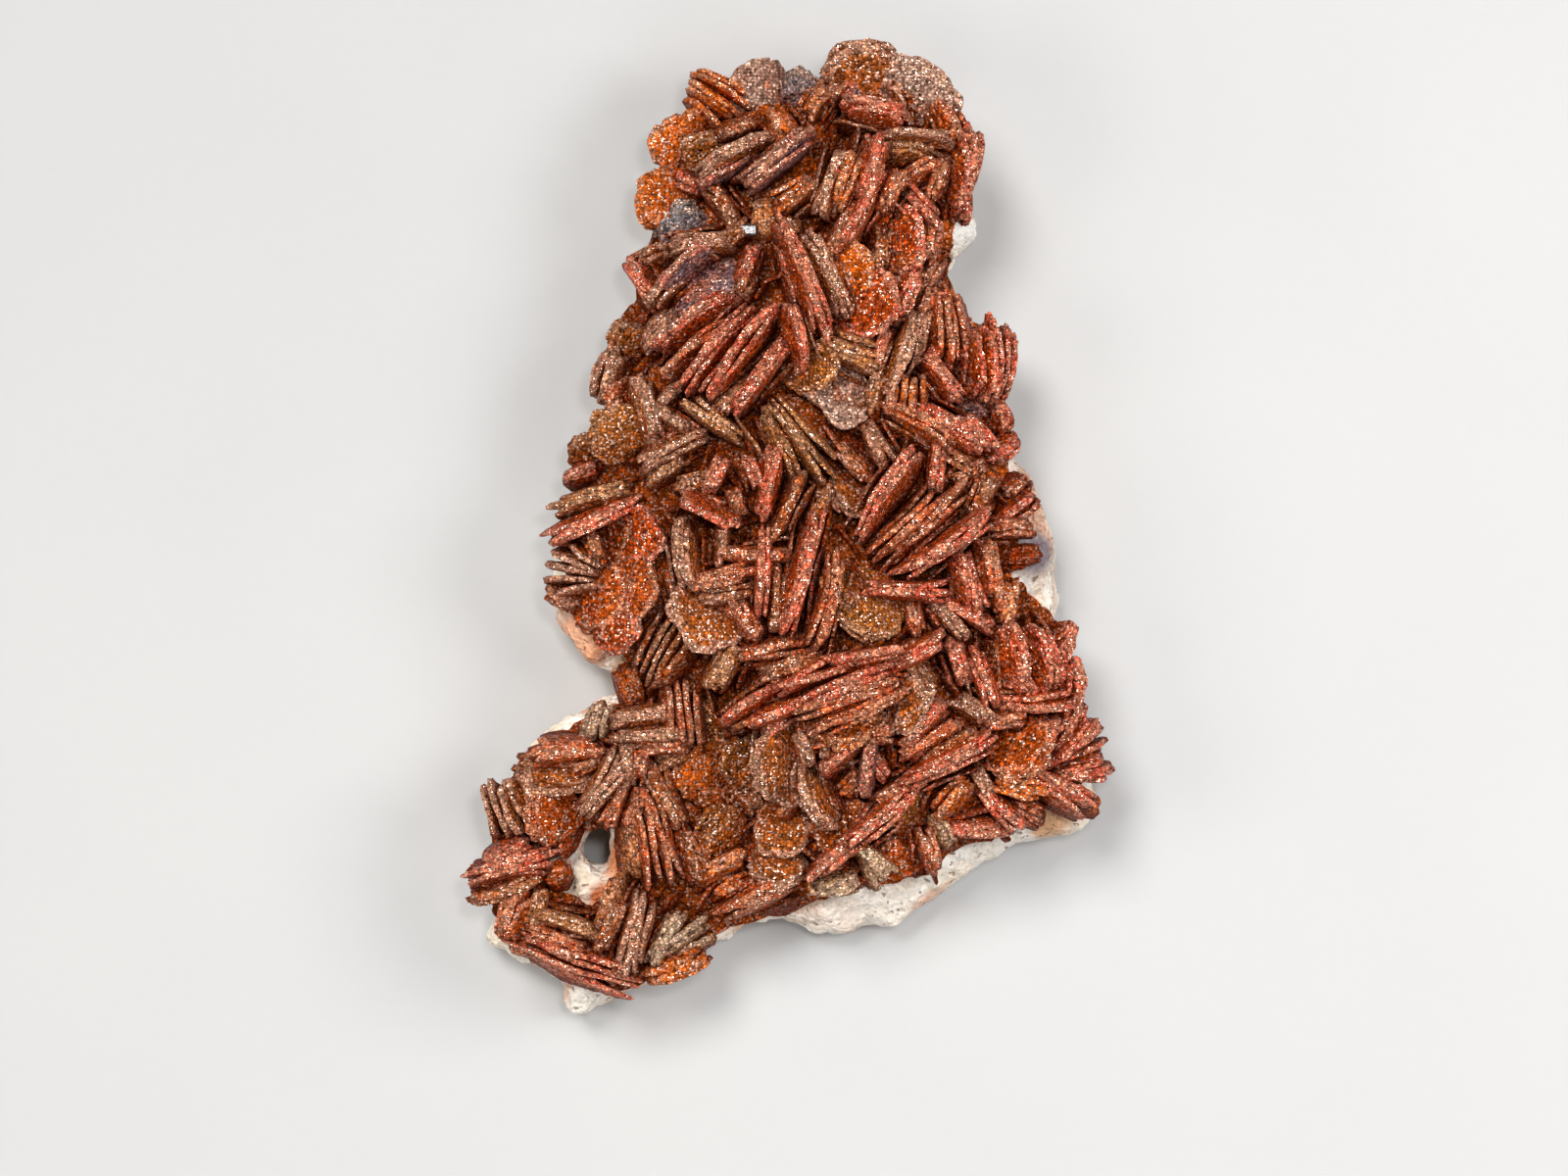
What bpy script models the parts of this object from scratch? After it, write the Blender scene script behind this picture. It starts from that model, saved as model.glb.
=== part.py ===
"""Vanadinite on matrix: a hand specimen that lies on its flat back, with its blades facing up.

The photograph looks straight down on it, so +X is the picture's right and +Y its top.
Sizes below are in millimetres, and MM turns them into metres.
"""

import math
import random
from collections import namedtuple

import bmesh
import bpy
from mathutils import Matrix, Vector, geometry, noise

MM = 0.001

# Driving dimensions of the host rock
EDGE_HEIGHT = 7.0
DOME_RISE = 9.5
DOME_SPREAD = 10.0
GRID_STEP = 9.0
GRID_MARGIN = 2.2
GRID_JITTER = 1.4
ROW_SHARE = 0.866
LUMP_SIZE = 9.0
LUMP_HEIGHT = 1.3
WALL_RECESS = 0.7
SOLE_RECESS = 1.0
BELT_SHARE = 0.45
SOLE_DROP = 10.0

# Driving dimensions of the crust and the blades
CRUST_THICKNESS = 2.6
CRUST_SWELL = 0.9
CRUST_BELOW = 2.5
SEAT = 2.0
BLADE_THICKNESS = 1.25
BLADE_PITCH = 1.9
CAP_SHARE = 0.74
LENS_LENGTH = 13.5
LENS_SIDES = 8
PLATE_SIDES = 6
PLATE_TAPER = 0.88
BLUNTNESS = 0.85
SHRINK = 0.08
GAP = 0.35
WELD = 0.004
FLATNESS = 3.0
FLOOR = -8.0
CEILING = 70.0
REACH = 95.0

# The metallic grain
GRAIN_PLACE = (-4.5, 37.0)
GRAIN_SIZE = (2.4, 1.5, 1.6)
GRAIN_BEVEL = 0.3
GRAIN_LIFT = 0.2

# Outline of the host rock, clockwise from the top
ROCK_EDGE = [
    (7, 56.5), (12, 57), (16, 55.5), (18, 52.5), (20.5, 49), (21.8, 45), (22, 41.5), (23.7, 39.6),
    (23.9, 37.5), (21.5, 34.5), (19.2, 32), (20.2, 29.5), (21.5, 26), (24.5, 25), (26.3, 22),
    (25.8, 17), (25.8, 13), (27.5, 10), (30.8, 6), (31.9, 2.4), (33.1, -1.4), (33.3, -5.6),
    (34, -8.5), (33.5, -11.5), (34.5, -15), (34.8, -19), (36.2, -24), (37.6, -27), (37.3, -30.5),
    (39.4, -33.9), (38.2, -36.2), (34.5, -37.7), (31.4, -37.9), (28.5, -38.9), (23.7, -41.3),
    (21.9, -43.5), (18.9, -44.9), (16.5, -46.7), (13.8, -49.6), (11.2, -48.5), (8.2, -49.9),
    (3.5, -49.3), (-1.3, -47.4), (-5, -48.5), (-9, -51), (-12.5, -53), (-17, -55.6), (-22.5, -57.8),
    (-24.8, -59.6), (-26.6, -60.5), (-26.9, -56), (-30, -53.8), (-33.1, -53.2), (-37.9, -50.5),
    (-36, -48.8), (-35.2, -46), (-37.5, -43.5), (-37.5, -41.5), (-35.5, -39.5), (-34.5, -37),
    (-36, -33.5), (-34.5, -30.5), (-32.2, -29.8), (-31.8, -26.3), (-29.5, -24.3), (-25.5, -22.8),
    (-23, -20.3), (-19.9, -20.4), (-19.8, -17.8), (-22, -17.0), (-24.4, -16.4), (-25.5, -14),
    (-26.8, -12), (-28.4, -10.3), (-27.6, -6.5), (-28.8, -3), (-28.5, -0.5), (-27, 2.5),
    (-24.5, 5), (-23.8, 8.5), (-23.5, 11), (-21.8, 13.5), (-20.5, 16.5), (-21.5, 19),
    (-19.5, 22.5), (-19.8, 25.5), (-17, 28), (-17, 31), (-17.5, 33.5), (-14.8, 36), (-15.8, 39),
    (-15.2, 42.5), (-13.5, 46), (-11.5, 49.5), (-10.5, 53), (-9, 55), (-5.5, 55), (-2, 56),
    (2, 55.2), (5, 54),
]

# The small hexagonal hole that goes right through
HOLE = [(-22.0, -36.1), (-21.6, -38.4), (-22.0, -40.7), (-24.0, -41.1), (-24.6, -38.6), (-24.0, -36.0)]

# Outline of the blades' common footing, and the bare window around the hole
CRUST_EDGE = [
    (7, 57), (13, 57.5), (17, 55), (21.5, 48), (22.5, 44), (20.3, 38.5), (19.5, 32), (22.5, 25.8),
    (25.3, 25), (26.8, 21), (26, 16), (27, 9), (28.3, 4), (27.5, -5.5), (33, -11), (35, -19.5),
    (38, -29), (36, -31.6), (30, -32.5), (27, -36.5), (21, -38.6), (16.5, -42), (5, -44.5),
    (-8, -49), (-16, -54.8), (-22, -56.4), (-34, -50.3), (-34.8, -47.5), (-37.6, -42.3),
    (-36, -39), (-36.2, -34), (-33.5, -30.5), (-29.2, -26), (-22, -22), (-18.5, -21.3),
    (-17.5, -18), (-21.3, -11), (-27, -4.5), (-27.6, -1), (-24.8, 5), (-24.2, 9), (-21, 16.5),
    (-22, 19.5), (-20, 26.5), (-17.5, 28.5), (-17.8, 32), (-16, 35.5), (-15.5, 43.5), (-11, 52),
    (-9, 55.3), (-4.5, 56.3), (2, 55.8),
]
WINDOW = [
    (-29.0, -38.6), (-26.0, -36.6), (-21.5, -35.2), (-18.4, -37.5), (-17.4, -41.5), (-19.5, -45.3),
    (-24.0, -46.3), (-28.2, -44.6), (-29.6, -41.5),
]

# Lumps and dips of the rock: x, y, height, radius
ROCK_RELIEF = [
    (-25.0, -12.5, 3.2, 3.6), (-8.0, -32.0, -5.5, 6.5), (12.0, -45.0, -2.0, 6.0), (-2.0, -4.0, 2.5, 14.0),
    (-23.0, -41.0, -1.5, 5.0), (30.0, -2.0, 1.5, 3.0), (8.0, -17.0, 2.0, 8.0), (10.0, 44.0, 2.5, 9.0),
]

# Dips of the crust between the sheaves: x, y, height, radius
CRUST_RELIEF = [
    (0.7, 38.8, -1.6, 2.6), (12.0, 35.0, -1.2, 2.5), (-10.0, 8.0, -1.6, 2.5), (5.0, 13.5, -1.6, 2.6),
    (1.0, -13.5, -1.2, 3.0), (8.5, -30.5, -1.5, 3.0), (-16.0, -9.0, -1.4, 3.0), (-8.0, -33.0, -1.2, 5.0),
]

# One sheaf is a stack of parallel blades. x and y are its middle from above, turn is the direction of
# its edge from +X, length and height are one blade's, lean is the tilt of the blades off the vertical
# towards the left of the edge, and spread is the turn from one blade to the next, in degrees.
Sheaf = namedtuple("Sheaf", "x y turn length height count lean spread", defaults=(1, 0, 0))

# One cluster is the sheaves that grew from one centre. Its cell is the ground that it covers from
# above: the corners lie along the valleys to its neighbours, or out past the specimen's edge.
Cluster = namedtuple("Cluster", "name cell sheaves")
CROWN_LEFT = [
    Sheaf(-8.4, 53.0, -34, 8.5, 8.5, 2, 4, 5), Sheaf(-3.0, 54.2, 97, 8.5, 8.0, 1, 52),
    Sheaf(2.0, 55.0, 10, 4.5, 5.0, 1, 40), Sheaf(-0.2, 49.4, -62, 4.5, 7.0),
    Sheaf(-9.8, 46.8, 20, 5.5, 5.5, 1, 48), Sheaf(-13.2, 47.6, 76, 6.5, 7.0, 1, 50),
    Sheaf(-14.9, 41.2, 86, 8.5, 7.0, 1, 50), Sheaf(-5.5, 46.5, 29, 11.5, 9.5, 1, 8),
    Sheaf(-0.6, 45.4, 38, 10.0, 9.0, 1, 6),
    Sheaf(3.6, 53.0, 60, 5.0, 6.5),
]
CROWN_RIGHT = [
    Sheaf(9.5, 56.6, 8, 10.0, 8.5, 1, 42), Sheaf(16.0, 54.4, -40, 10.5, 8.5, 1, 42),
    Sheaf(10.7, 51.4, -12, 8.5, 9.5, 2, 6), Sheaf(16.0, 48.2, 0, 9.5, 9.0, 1, 6),
    Sheaf(19.5, 50.4, -62, 7.0, 8.5, 1, 20), Sheaf(21.7, 44.8, 82, 11.0, 9.0, 2, -16, 6),
    Sheaf(16.3, 43.6, 30, 7.0, 7.5, 1, 10),
]
NECK_LEFT = [
    Sheaf(-13.2, 38.3, 18, 6.2, 6.0, 1, 40), Sheaf(-7.4, 40.0, -56, 6.7, 6.5),
    Sheaf(-17.2, 31.0, -54, 7.5, 8.0, 1, -8), Sheaf(-12.2, 32.0, 40, 9.0, 8.5, 1, 14),
    Sheaf(-9.5, 30.2, 35, 9.0, 7.5, 1, -40), Sheaf(-9.8, 35.3, 7, 9.0, 8.0, 1, 6),
    Sheaf(-4.6, 33.0, 70, 5.0, 7.0),
]
NECK_RIGHT = [
    Sheaf(1.4, 41.6, 34, 7.0, 7.0), Sheaf(5.6, 42.0, 70, 9.5, 8.5, 1, 4),
    Sheaf(9.4, 44.2, 71, 9.5, 9.5, 2, -4), Sheaf(9.6, 39.6, 62, 11.0, 9.0),
    Sheaf(2.3, 30.6, -70, 16.0, 10.5, 1, 6), Sheaf(5.0, 31.6, -66, 11.5, 8.5, 1, 6),
    Sheaf(7.6, 32.4, -60, 8.0, 7.0, 1, 44), Sheaf(14.0, 36.0, 95, 9.0, 8.5, 1, -32),
    Sheaf(16.4, 40.2, -50, 6.5, 7.5), Sheaf(10.0, 28.6, 73, 9.0, 9.0, 1, -46),
    Sheaf(14.2, 29.6, 66, 8.5, 8.0, 1, -22), Sheaf(17.6, 31.4, 60, 6.0, 6.5),
]
SHOULDER_LEFT = [
    Sheaf(-10.6, 25.2, 35, 12.5, 9.0, 1, 18), Sheaf(-10.6, 21.6, 41, 10.5, 8.5, 1, 10),
    Sheaf(-8.0, 22.4, 49, 14.5, 10.5, 1, 9), Sheaf(-5.4, 21.8, 54, 15.5, 10.5, 1, 6),
    Sheaf(-3.2, 19.2, 52, 12.0, 9.0), Sheaf(1.2, 23.8, -75, 8.5, 9.0, 1, 8),
    Sheaf(2.8, 20.0, 85, 6.5, 7.5, 1, -42), Sheaf(-8.5, 13.5, -36, 9.0, 7.5),
    Sheaf(-13.4, 13.8, -34, 6.0, 6.5), Sheaf(-13.4, 10.4, 29, 10.0, 8.0, 1, -4),
    Sheaf(-17.0, 14.8, -75, 9.3, 8.0, 2, 6), Sheaf(-21.4, 19.2, 78, 8.0, 7.5, 2, 14),
    Sheaf(-20.6, 12.3, 20, 7.0, 7.0, 1, 46), Sheaf(-24.4, 9.8, 20, 5.0, 5.5, 1, 34),
    Sheaf(-19.6, 24.0, 40, 4.5, 5.0, 1, 40), Sheaf(-15.4, 24.2, 50, 6.0, 6.5),
]
SHOULDER_RIGHT = [
    Sheaf(8.2, 22.4, -22, 8.0, 7.0, 2), Sheaf(11.2, 10.8, -65, 6.5, 7.0),
    Sheaf(13.7, 21.0, 69, 12.0, 9.0, 1, -8),
    Sheaf(20.2, 24.8, -82, 10.0, 8.5, 2, 4), Sheaf(25.4, 21.3, 88, 10.0, 8.5, 2, -22, 8),
    Sheaf(19.4, 18.8, -52, 7.5, 8.0, 1, 6), Sheaf(26.2, 15.0, -60, 5.0, 6.0, 1, 16),
    Sheaf(26.6, 10.4, 40, 5.0, 5.5, 1, -20), Sheaf(17.2, 12.2, -31, 11.0, 8.5, 1, 12),
    Sheaf(21.0, 12.6, -33, 10.0, 9.0, 1, 12), Sheaf(14.8, 16.8, 88, 5.0, 7.0),
    Sheaf(7.0, 16.6, -32, 8.5, 7.0, 1, -46),
]
HEART = [
    Sheaf(1.0, 10.6, -58, 12.5, 9.5, 3, 2, 7), Sheaf(11.2, 10.6, -65, 6.5, 7.0),
    Sheaf(-8.7, 2.6, -20, 8.5, 8.5, 1, -12), Sheaf(-8.4, 7.0, 72, 5.0, 6.5),
    Sheaf(-1.9, 6.0, 80, 9.0, 11.0),
    Sheaf(0.6, 4.6, 66, 6.5, 8.5), Sheaf(7.9, 4.8, -42, 6.5, 6.0, 1, -40),
]
WAIST = [
    Sheaf(-2.4, -5.0, 88, 12.0, 10.5), Sheaf(-11.9, -3.6, -80, 8.0, 8.5, 1, -14),
    Sheaf(-5.8, -2.9, 2, 9.5, 8.0), Sheaf(-7.4, -6.2, 12, 8.5, 7.5),
    Sheaf(-9.3, -11.0, -35, 10.5, 8.0, 1, -46), Sheaf(-5.0, -10.4, -50, 6.5, 7.0),
    Sheaf(1.9, -4.6, 76, 16.5, 9.5, 1, -5), Sheaf(4.9, -7.6, 78, 13.0, 9.5, 1, -5),
    Sheaf(-14.2, -13.6, 60, 10.0, 7.0, 1, 8), Sheaf(-7.6, -16.0, 62, 6.5, 7.0),
    Sheaf(-1.4, -14.2, 12, 9.0, 7.0),
]
FLANK_LEFT = [
    Sheaf(-23.4, 4.4, 16, 11.5, 7.5, 1, 6), Sheaf(-23.4, 1.5, 24, 14.0, 9.0, 1, -4),
    Sheaf(-25.6, -4.6, 168, 7.0, 7.0, 2, 0, 14), Sheaf(-19.6, -6.2, 80, 12.5, 10.0, 1, -46),
    Sheaf(-22.6, -7.6, 76, 9.0, 8.0, 1, -40), Sheaf(-18.6, -0.4, 85, 7.0, 8.0, 1, -42),
]
FLANK_RIGHT = [
    Sheaf(12.4, 4.2, 56, 14.5, 9.5, 1, 6), Sheaf(18.6, 7.6, 85, 6.5, 7.5),
    Sheaf(15.0, 0.6, 41, 12.0, 8.5, 1, 4), Sheaf(19.3, -1.0, 35, 15.5, 10.5, 1, -4),
    Sheaf(14.6, -7.2, -4, 11.5, 8.5, 1, 4), Sheaf(22.2, -6.0, -72, 9.0, 8.0, 1, 6),
    Sheaf(24.8, -4.8, -80, 9.0, 7.5, 1, 10), Sheaf(22.2, -10.2, -34, 7.5, 7.5),
    Sheaf(9.8, -9.0, -42, 9.5, 9.0, 1, -40), Sheaf(28.0, 3.6, 37, 5.5, 5.5, 1, -14),
    Sheaf(27.2, -8.6, 85, 6.0, 6.5, 1, -12),
]
BELLY = [
    Sheaf(-3.6, -21.0, 31, 9.5, 9.0, 1, 10), Sheaf(3.4, -17.5, 22, 10.5, 11.0, 1, 8),
    Sheaf(10.2, -15.3, 10, 8.5, 10.0, 1, 6), Sheaf(0.4, -21.4, 22, 10.0, 9.0),
    Sheaf(9.4, -18.0, 22, 11.5, 10.0), Sheaf(16.0, -15.0, 30, 8.0, 10.0),
    Sheaf(9.0, -20.8, 24, 13.5, 8.5, 1, -12), Sheaf(6.6, -22.6, 22, 10.0, 7.5, 1, -42),
    Sheaf(15.0, -20.4, 75, 7.0, 7.5, 1, -30),
]
HOLLOW = [
    Sheaf(-9.4, -24.0, -58, 7.0, 6.5, 1, 34), Sheaf(-4.6, -28.0, 60, 6.0, 6.5, 1, 42),
    Sheaf(-10.4, -29.0, 70, 6.5, 6.0, 1, 38), Sheaf(-5.6, -33.0, -40, 6.0, 5.5, 1, 36),
    Sheaf(-7.8, -37.0, 55, 6.5, 6.0, 1, 36), Sheaf(-8.4, -41.6, 25, 7.5, 6.0, 1, 10),
]
SKIRT_MIDDLE = [
    Sheaf(-0.2, -28.4, 82, 10.0, 8.5, 1, 38), Sheaf(4.0, -32.1, -65, 8.5, 8.5, 1, -20),
    Sheaf(7.0, -27.2, 36, 7.0, 7.0), Sheaf(9.9, -28.2, 82, 8.0, 8.0),
    Sheaf(17.0, -23.6, 46, 8.5, 8.5, 1, 4), Sheaf(18.8, -28.0, 24, 13.0, 10.0, 2),
    Sheaf(11.5, -34.8, 43, 11.0, 9.5, 1, -5),
    Sheaf(6.8, -36.4, 40, 7.5, 7.0, 1, -46), Sheaf(0.0, -36.4, 10, 7.0, 7.5, 1, -46),
    Sheaf(-1.0, -40.8, 5, 7.5, 6.5, 1, -48), Sheaf(10.8, -40.6, -50, 6.5, 6.5, 1, 6),
    Sheaf(17.2, -39.0, -75, 6.0, 6.5, 1, 10), Sheaf(-2.6, -44.6, 28, 12.0, 7.5, 1, -8),
    Sheaf(20.4, -33.4, 50, 7.0, 6.5, 1, 20),
]
SKIRT_RIGHT = [
    Sheaf(24.4, -18.2, -70, 8.0, 8.5), Sheaf(27.2, -15.4, -80, 8.0, 9.0, 1, 24),
    Sheaf(21.4, -16.0, -68, 6.5, 7.5),
    Sheaf(31.0, -15.6, -75, 8.0, 9.0, 1, 26), Sheaf(34.0, -13.6, 62, 5.5, 7.0, 1, -24),
    Sheaf(34.8, -18.4, -80, 6.0, 7.0, 1, 24), Sheaf(30.4, -20.8, 2, 10.0, 9.0, 1, -4),
    Sheaf(28.8, -26.6, 30, 9.5, 9.0, 1, -36),
    Sheaf(35.2, -26.2, 38, 9.0, 8.0, 1, -10), Sheaf(36.2, -28.6, 8, 8.0, 7.0, 1, -8),
    Sheaf(33.2, -31.6, -28, 11.5, 8.5, 1, 6), Sheaf(34.6, -23.0, 60, 7.5, 7.0, 1, -14),
    Sheaf(26.0, -33.8, -45, 8.0, 8.0), Sheaf(24.0, -36.2, -3, 8.0, 6.5, 1, -8),
]
KNEE = [
    Sheaf(-17.6, -22.8, 8, 8.5, 8.0, 1, 6), Sheaf(-16.6, -25.4, 2, 9.0, 8.0, 1, -4),
    Sheaf(-12.6, -22.0, -82, 8.5, 7.0, 1, 4), Sheaf(-22.0, -30.4, 53, 9.5, 8.5, 2),
    Sheaf(-19.2, -29.0, -85, 6.0, 7.0), Sheaf(-14.8, -32.4, -65, 9.0, 7.0, 1, 6),
    Sheaf(-15.9, -37.6, -79, 12.5, 7.5, 1, 6),
    Sheaf(-23.0, -23.4, 70, 5.5, 6.0, 1, 10), Sheaf(-26.8, -26.9, 3, 9.5, 7.5, 1, 8),
    Sheaf(-27.8, -29.8, 2, 9.5, 7.5, 1, -30), Sheaf(-34.0, -34.0, -70, 7.5, 8.5, 2, -6, 4),
    Sheaf(-28.6, -34.4, 86, 7.5, 7.0, 1, 40),
]
FOOT = [
    Sheaf(-34.2, -39.2, 32, 6.5, 9.0),
    Sheaf(-33.4, -41.4, 13, 12.0, 8.5, 1, 4), Sheaf(-34.4, -43.8, 18, 9.0, 7.0, 1, -8),
    Sheaf(-32.8, -47.0, 72, 7.0, 7.0, 1, 20), Sheaf(-26.6, -48.4, -21, 9.0, 7.0, 1, 6),
    Sheaf(-25.8, -52.8, -20, 18.0, 9.0, 2, 2), Sheaf(-21.4, -48.4, 68, 7.5, 6.5),
    Sheaf(-18.2, -48.8, 75, 10.5, 7.5),
    Sheaf(-12.6, -50.2, 38, 8.0, 6.0, 1, 10), Sheaf(-13.6, -53.6, 22, 8.5, 6.5, 1, -8),
]


CLUSTERS = [
    Cluster("crown_left", [
        (5, 49), (-1.5, 42.3), (-11, 40.6), (-35, 39), (-35, 75), (5, 75)], CROWN_LEFT),
    Cluster("crown_right", [
        (5, 75), (5, 49), (9, 48.6), (13, 46), (14, 42.4), (19, 40.8), (21, 38.8), (45, 38.5),
        (45, 75)], CROWN_RIGHT),
    Cluster("neck_left", [
        (-1.5, 42.3), (-3, 36), (-2.5, 29.5), (-8, 29), (-13.5, 26.6), (-35, 28), (-35, 39),
        (-11, 40.6)], NECK_LEFT),
    Cluster("neck_right", [
        (5, 49), (9, 48.6), (13, 46), (14, 42.4), (19, 40.8), (21, 38.8), (45, 38.5), (45, 29.5),
        (18.5, 28.2), (13, 25.4), (6, 25.2), (3.8, 22), (0.4, 28.8), (-2.5, 29.5), (-3, 36),
        (-1.5, 42.3)], NECK_RIGHT),
    Cluster("shoulder_left", [
        (-2.5, 29.5), (0.4, 28.8), (3.8, 22), (3, 18.6), (0, 17.2), (-3.5, 11.8), (-8.5, 10.2),
        (-15.2, 6.6), (-21, 8.2), (-24, 7.6), (-45, 8), (-35, 28), (-13.5, 26.6), (-8, 29)],
        SHOULDER_LEFT),
    Cluster("shoulder_right", [
        (3.8, 22), (6, 25.2), (13, 25.4), (18.5, 28.2), (45, 29.5), (45, 8.5), (23, 7.8),
        (18, 10), (13.8, 11.8), (8, 12.8), (3, 18.6)], SHOULDER_RIGHT),
    Cluster("heart", [
        (3, 18.6), (8, 12.8), (13.8, 11.8), (10.5, 6.5), (6.8, -0.5), (3.2, 3.9), (0.5, 1.4),
        (-4, 0.2), (-9, 0.4), (-14.3, 0), (-15.2, 6.6), (-8.5, 10.2), (-3.5, 11.8), (0, 17.2)],
        HEART),
    Cluster("waist", [
        (-14.3, 0), (-9, 0.4), (-4, 0.2), (0.5, 1.4), (3.2, 3.9), (6.8, -0.5), (7.2, -6),
        (6.6, -11), (8.5, -13), (3, -15.4), (-2, -17.8), (-8.5, -21), (-10.8, -18.7),
        (-16, -19.2), (-18, -15.5), (-17.2, -11), (-14.8, -6)], WAIST),
    Cluster("flank_left", [
        (-15.2, 6.6), (-14.3, 0), (-14.8, -6), (-17.2, -11), (-18, -15.5), (-45, -18.5), (-45, 8),
        (-24, 7.6), (-21, 8.2)], FLANK_LEFT),
    Cluster("flank_right", [
        (13.8, 11.8), (18, 10), (23, 7.8), (45, 8.5), (50, -9), (30, -11), (23, -12.6),
        (19.4, -12.3), (14, -12), (8.5, -13), (6.6, -11), (7.2, -6), (6.8, -0.5), (10.5, 6.5)],
        FLANK_RIGHT),
    Cluster("belly", [
        (8.5, -13), (14, -12), (19.4, -12.3), (20.8, -17), (19.5, -20.3), (16.6, -21.6),
        (14.2, -25), (11, -25), (8, -24.8), (3, -24.4), (-3, -24.6), (-8.5, -21), (-2, -17.8),
        (3, -15.4)], BELLY),
    Cluster("hollow", [
        (-8.5, -21), (-3, -24.6), (-4, -30), (-4, -36), (-4.6, -42.5), (-9, -47.5), (-12.8, -44),
        (-12, -34), (-11, -27), (-10.8, -18.7)], HOLLOW),
    Cluster("skirt_middle", [
        (19.5, -20.3), (24, -23.6), (25.6, -27.5), (22.6, -31.5), (20.5, -36.5), (21, -65),
        (-8, -65), (-9, -47.5), (-4.6, -42.5), (-4, -36), (-4, -30), (-3, -24.6), (3, -24.4),
        (8, -24.8), (11, -25), (14.2, -25), (16.6, -21.6)], SKIRT_MIDDLE),
    Cluster("skirt_right", [
        (19.4, -12.3), (23, -12.6), (30, -11), (50, -9), (50, -65), (21, -65), (20.5, -36.5),
        (22.6, -31.5), (25.6, -27.5), (24, -23.6), (19.5, -20.3), (20.8, -17)], SKIRT_RIGHT),
    Cluster("knee", [
        (-18, -15.5), (-16, -19.2), (-10.8, -18.7), (-11, -27), (-12, -34), (-12.8, -44),
        (-18, -44.5), (-24, -38.7), (-30, -38), (-34, -36.8), (-45, -39.5), (-45, -18.5)], KNEE),
    Cluster("foot", [
        (-12.8, -44), (-9, -47.5), (-8, -65), (-45, -65), (-45, -39.5), (-34, -36.8), (-30, -38),
        (-24, -38.7), (-18, -44.5)], FOOT),
]


def signed_area(loop):
    """Area of a closed loop of points, positive when it runs anticlockwise."""
    pairs = zip(loop, loop[1:] + loop[:1])
    return sum(a[0] * b[1] - b[0] * a[1] for a, b in pairs) / 2


def anticlockwise(loop):
    return list(loop) if signed_area(loop) > 0 else list(reversed(loop))


def inset(loop, width):
    """Move every side of an anticlockwise loop inwards by a width, and meet the sides again."""
    result = []
    for before, here, after in zip(loop[-1:] + loop[:-1], loop, loop[1:] + loop[:1]):
        into = (Vector(here) - Vector(before)).normalized()
        out = (Vector(after) - Vector(here)).normalized()
        left_into = Vector((-into.y, into.x))
        left_out = Vector((-out.y, out.x))
        middle = (left_into + left_out).normalized()
        result.append(tuple(Vector(here) + middle * width / max(middle.dot(left_into), 0.6)))
    return result


def edge_distance(x, y, loop):
    """Distance from a point to the nearest side of a loop."""
    place = Vector((x, y))
    nearest = REACH
    for a, b in zip(loop, loop[1:] + loop[:1]):
        start = Vector(a)
        side = Vector(b) - start
        share = min(max((place - start).dot(side) / side.length_squared, 0), 1)
        nearest = min(nearest, (place - start - side * share).length)
    return nearest


def is_inside(x, y, loop):
    """Whether a point lies inside a loop, by counting the sides that a ray to +X crosses."""
    crossings = 0
    for (ax, ay), (bx, by) in zip(loop, loop[1:] + loop[:1]):
        if (ay > y) != (by > y) and x < ax + (y - ay) * (bx - ax) / (by - ay):
            crossings += 1
    return crossings % 2 == 1


def relief(x, y, bumps):
    """Sum of round bumps and dips, each given as x, y, height, radius."""
    return sum(h * math.exp(-((x - bx) ** 2 + (y - by) ** 2) / (2 * r * r)) for bx, by, h, r in bumps)


def rock_height(x, y):
    """Height of the host rock's upper face."""
    depth = edge_distance(x, y, ROCK_EDGE) if is_inside(x, y, ROCK_EDGE) else 0
    dome = DOME_RISE * (1 - math.exp(-depth / DOME_SPREAD))
    lumps = LUMP_HEIGHT * noise.noise(Vector((x, y, 3.0)) / LUMP_SIZE)
    return EDGE_HEIGHT + dome + lumps + relief(x, y, ROCK_RELIEF)


def crust_height(x, y):
    """Height of the footing that the blades of every cluster share with the rock."""
    swell = CRUST_SWELL * noise.noise(Vector((x, y, 40.0)) / LUMP_SIZE)
    return rock_height(x, y) + max(CRUST_THICKNESS + swell + relief(x, y, CRUST_RELIEF), 1.2)


def plan_triangles(loops, with_grid=True):
    """Points and triangles that fill the first loop around the others, on a jittered grid if wanted."""
    rng = random.Random(7)
    points = [Vector(p) for loop in loops for p in loop]
    sides = []
    first = 0
    for loop in loops:
        count = len(loop)
        sides += [(first + i, first + (i + 1) % count) for i in range(count)]
        first += count
    ring_count = len(points)
    columns = int(2 * REACH / GRID_STEP)
    rows = int(2 * REACH / (GRID_STEP * ROW_SHARE)) if with_grid else 0
    for row in range(rows):
        for column in range(columns):
            x = -REACH + (column + row % 2 / 2) * GRID_STEP + rng.uniform(-GRID_JITTER, GRID_JITTER)
            y = -REACH + row * GRID_STEP * ROW_SHARE + rng.uniform(-GRID_JITTER, GRID_JITTER)
            inside = is_inside(x, y, loops[0]) and not any(is_inside(x, y, hole) for hole in loops[1:])
            if inside and min(edge_distance(x, y, loop) for loop in loops) > GRID_MARGIN:
                points.append(Vector((x, y)))
    filled = geometry.delaunay_2d_cdt(points, sides, [], 0, 1e-6)
    if len(filled[0]) != len(points):
        raise ValueError("an outline crosses itself")
    triangles = []
    for face in filled[2]:
        x, y = sum((points[i] for i in face), Vector((0, 0))) / len(face)
        if is_inside(x, y, loops[0]) and not any(is_inside(x, y, hole) for hole in loops[1:]):
            triangles.append(tuple(face))
    return points, triangles, ring_count


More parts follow.
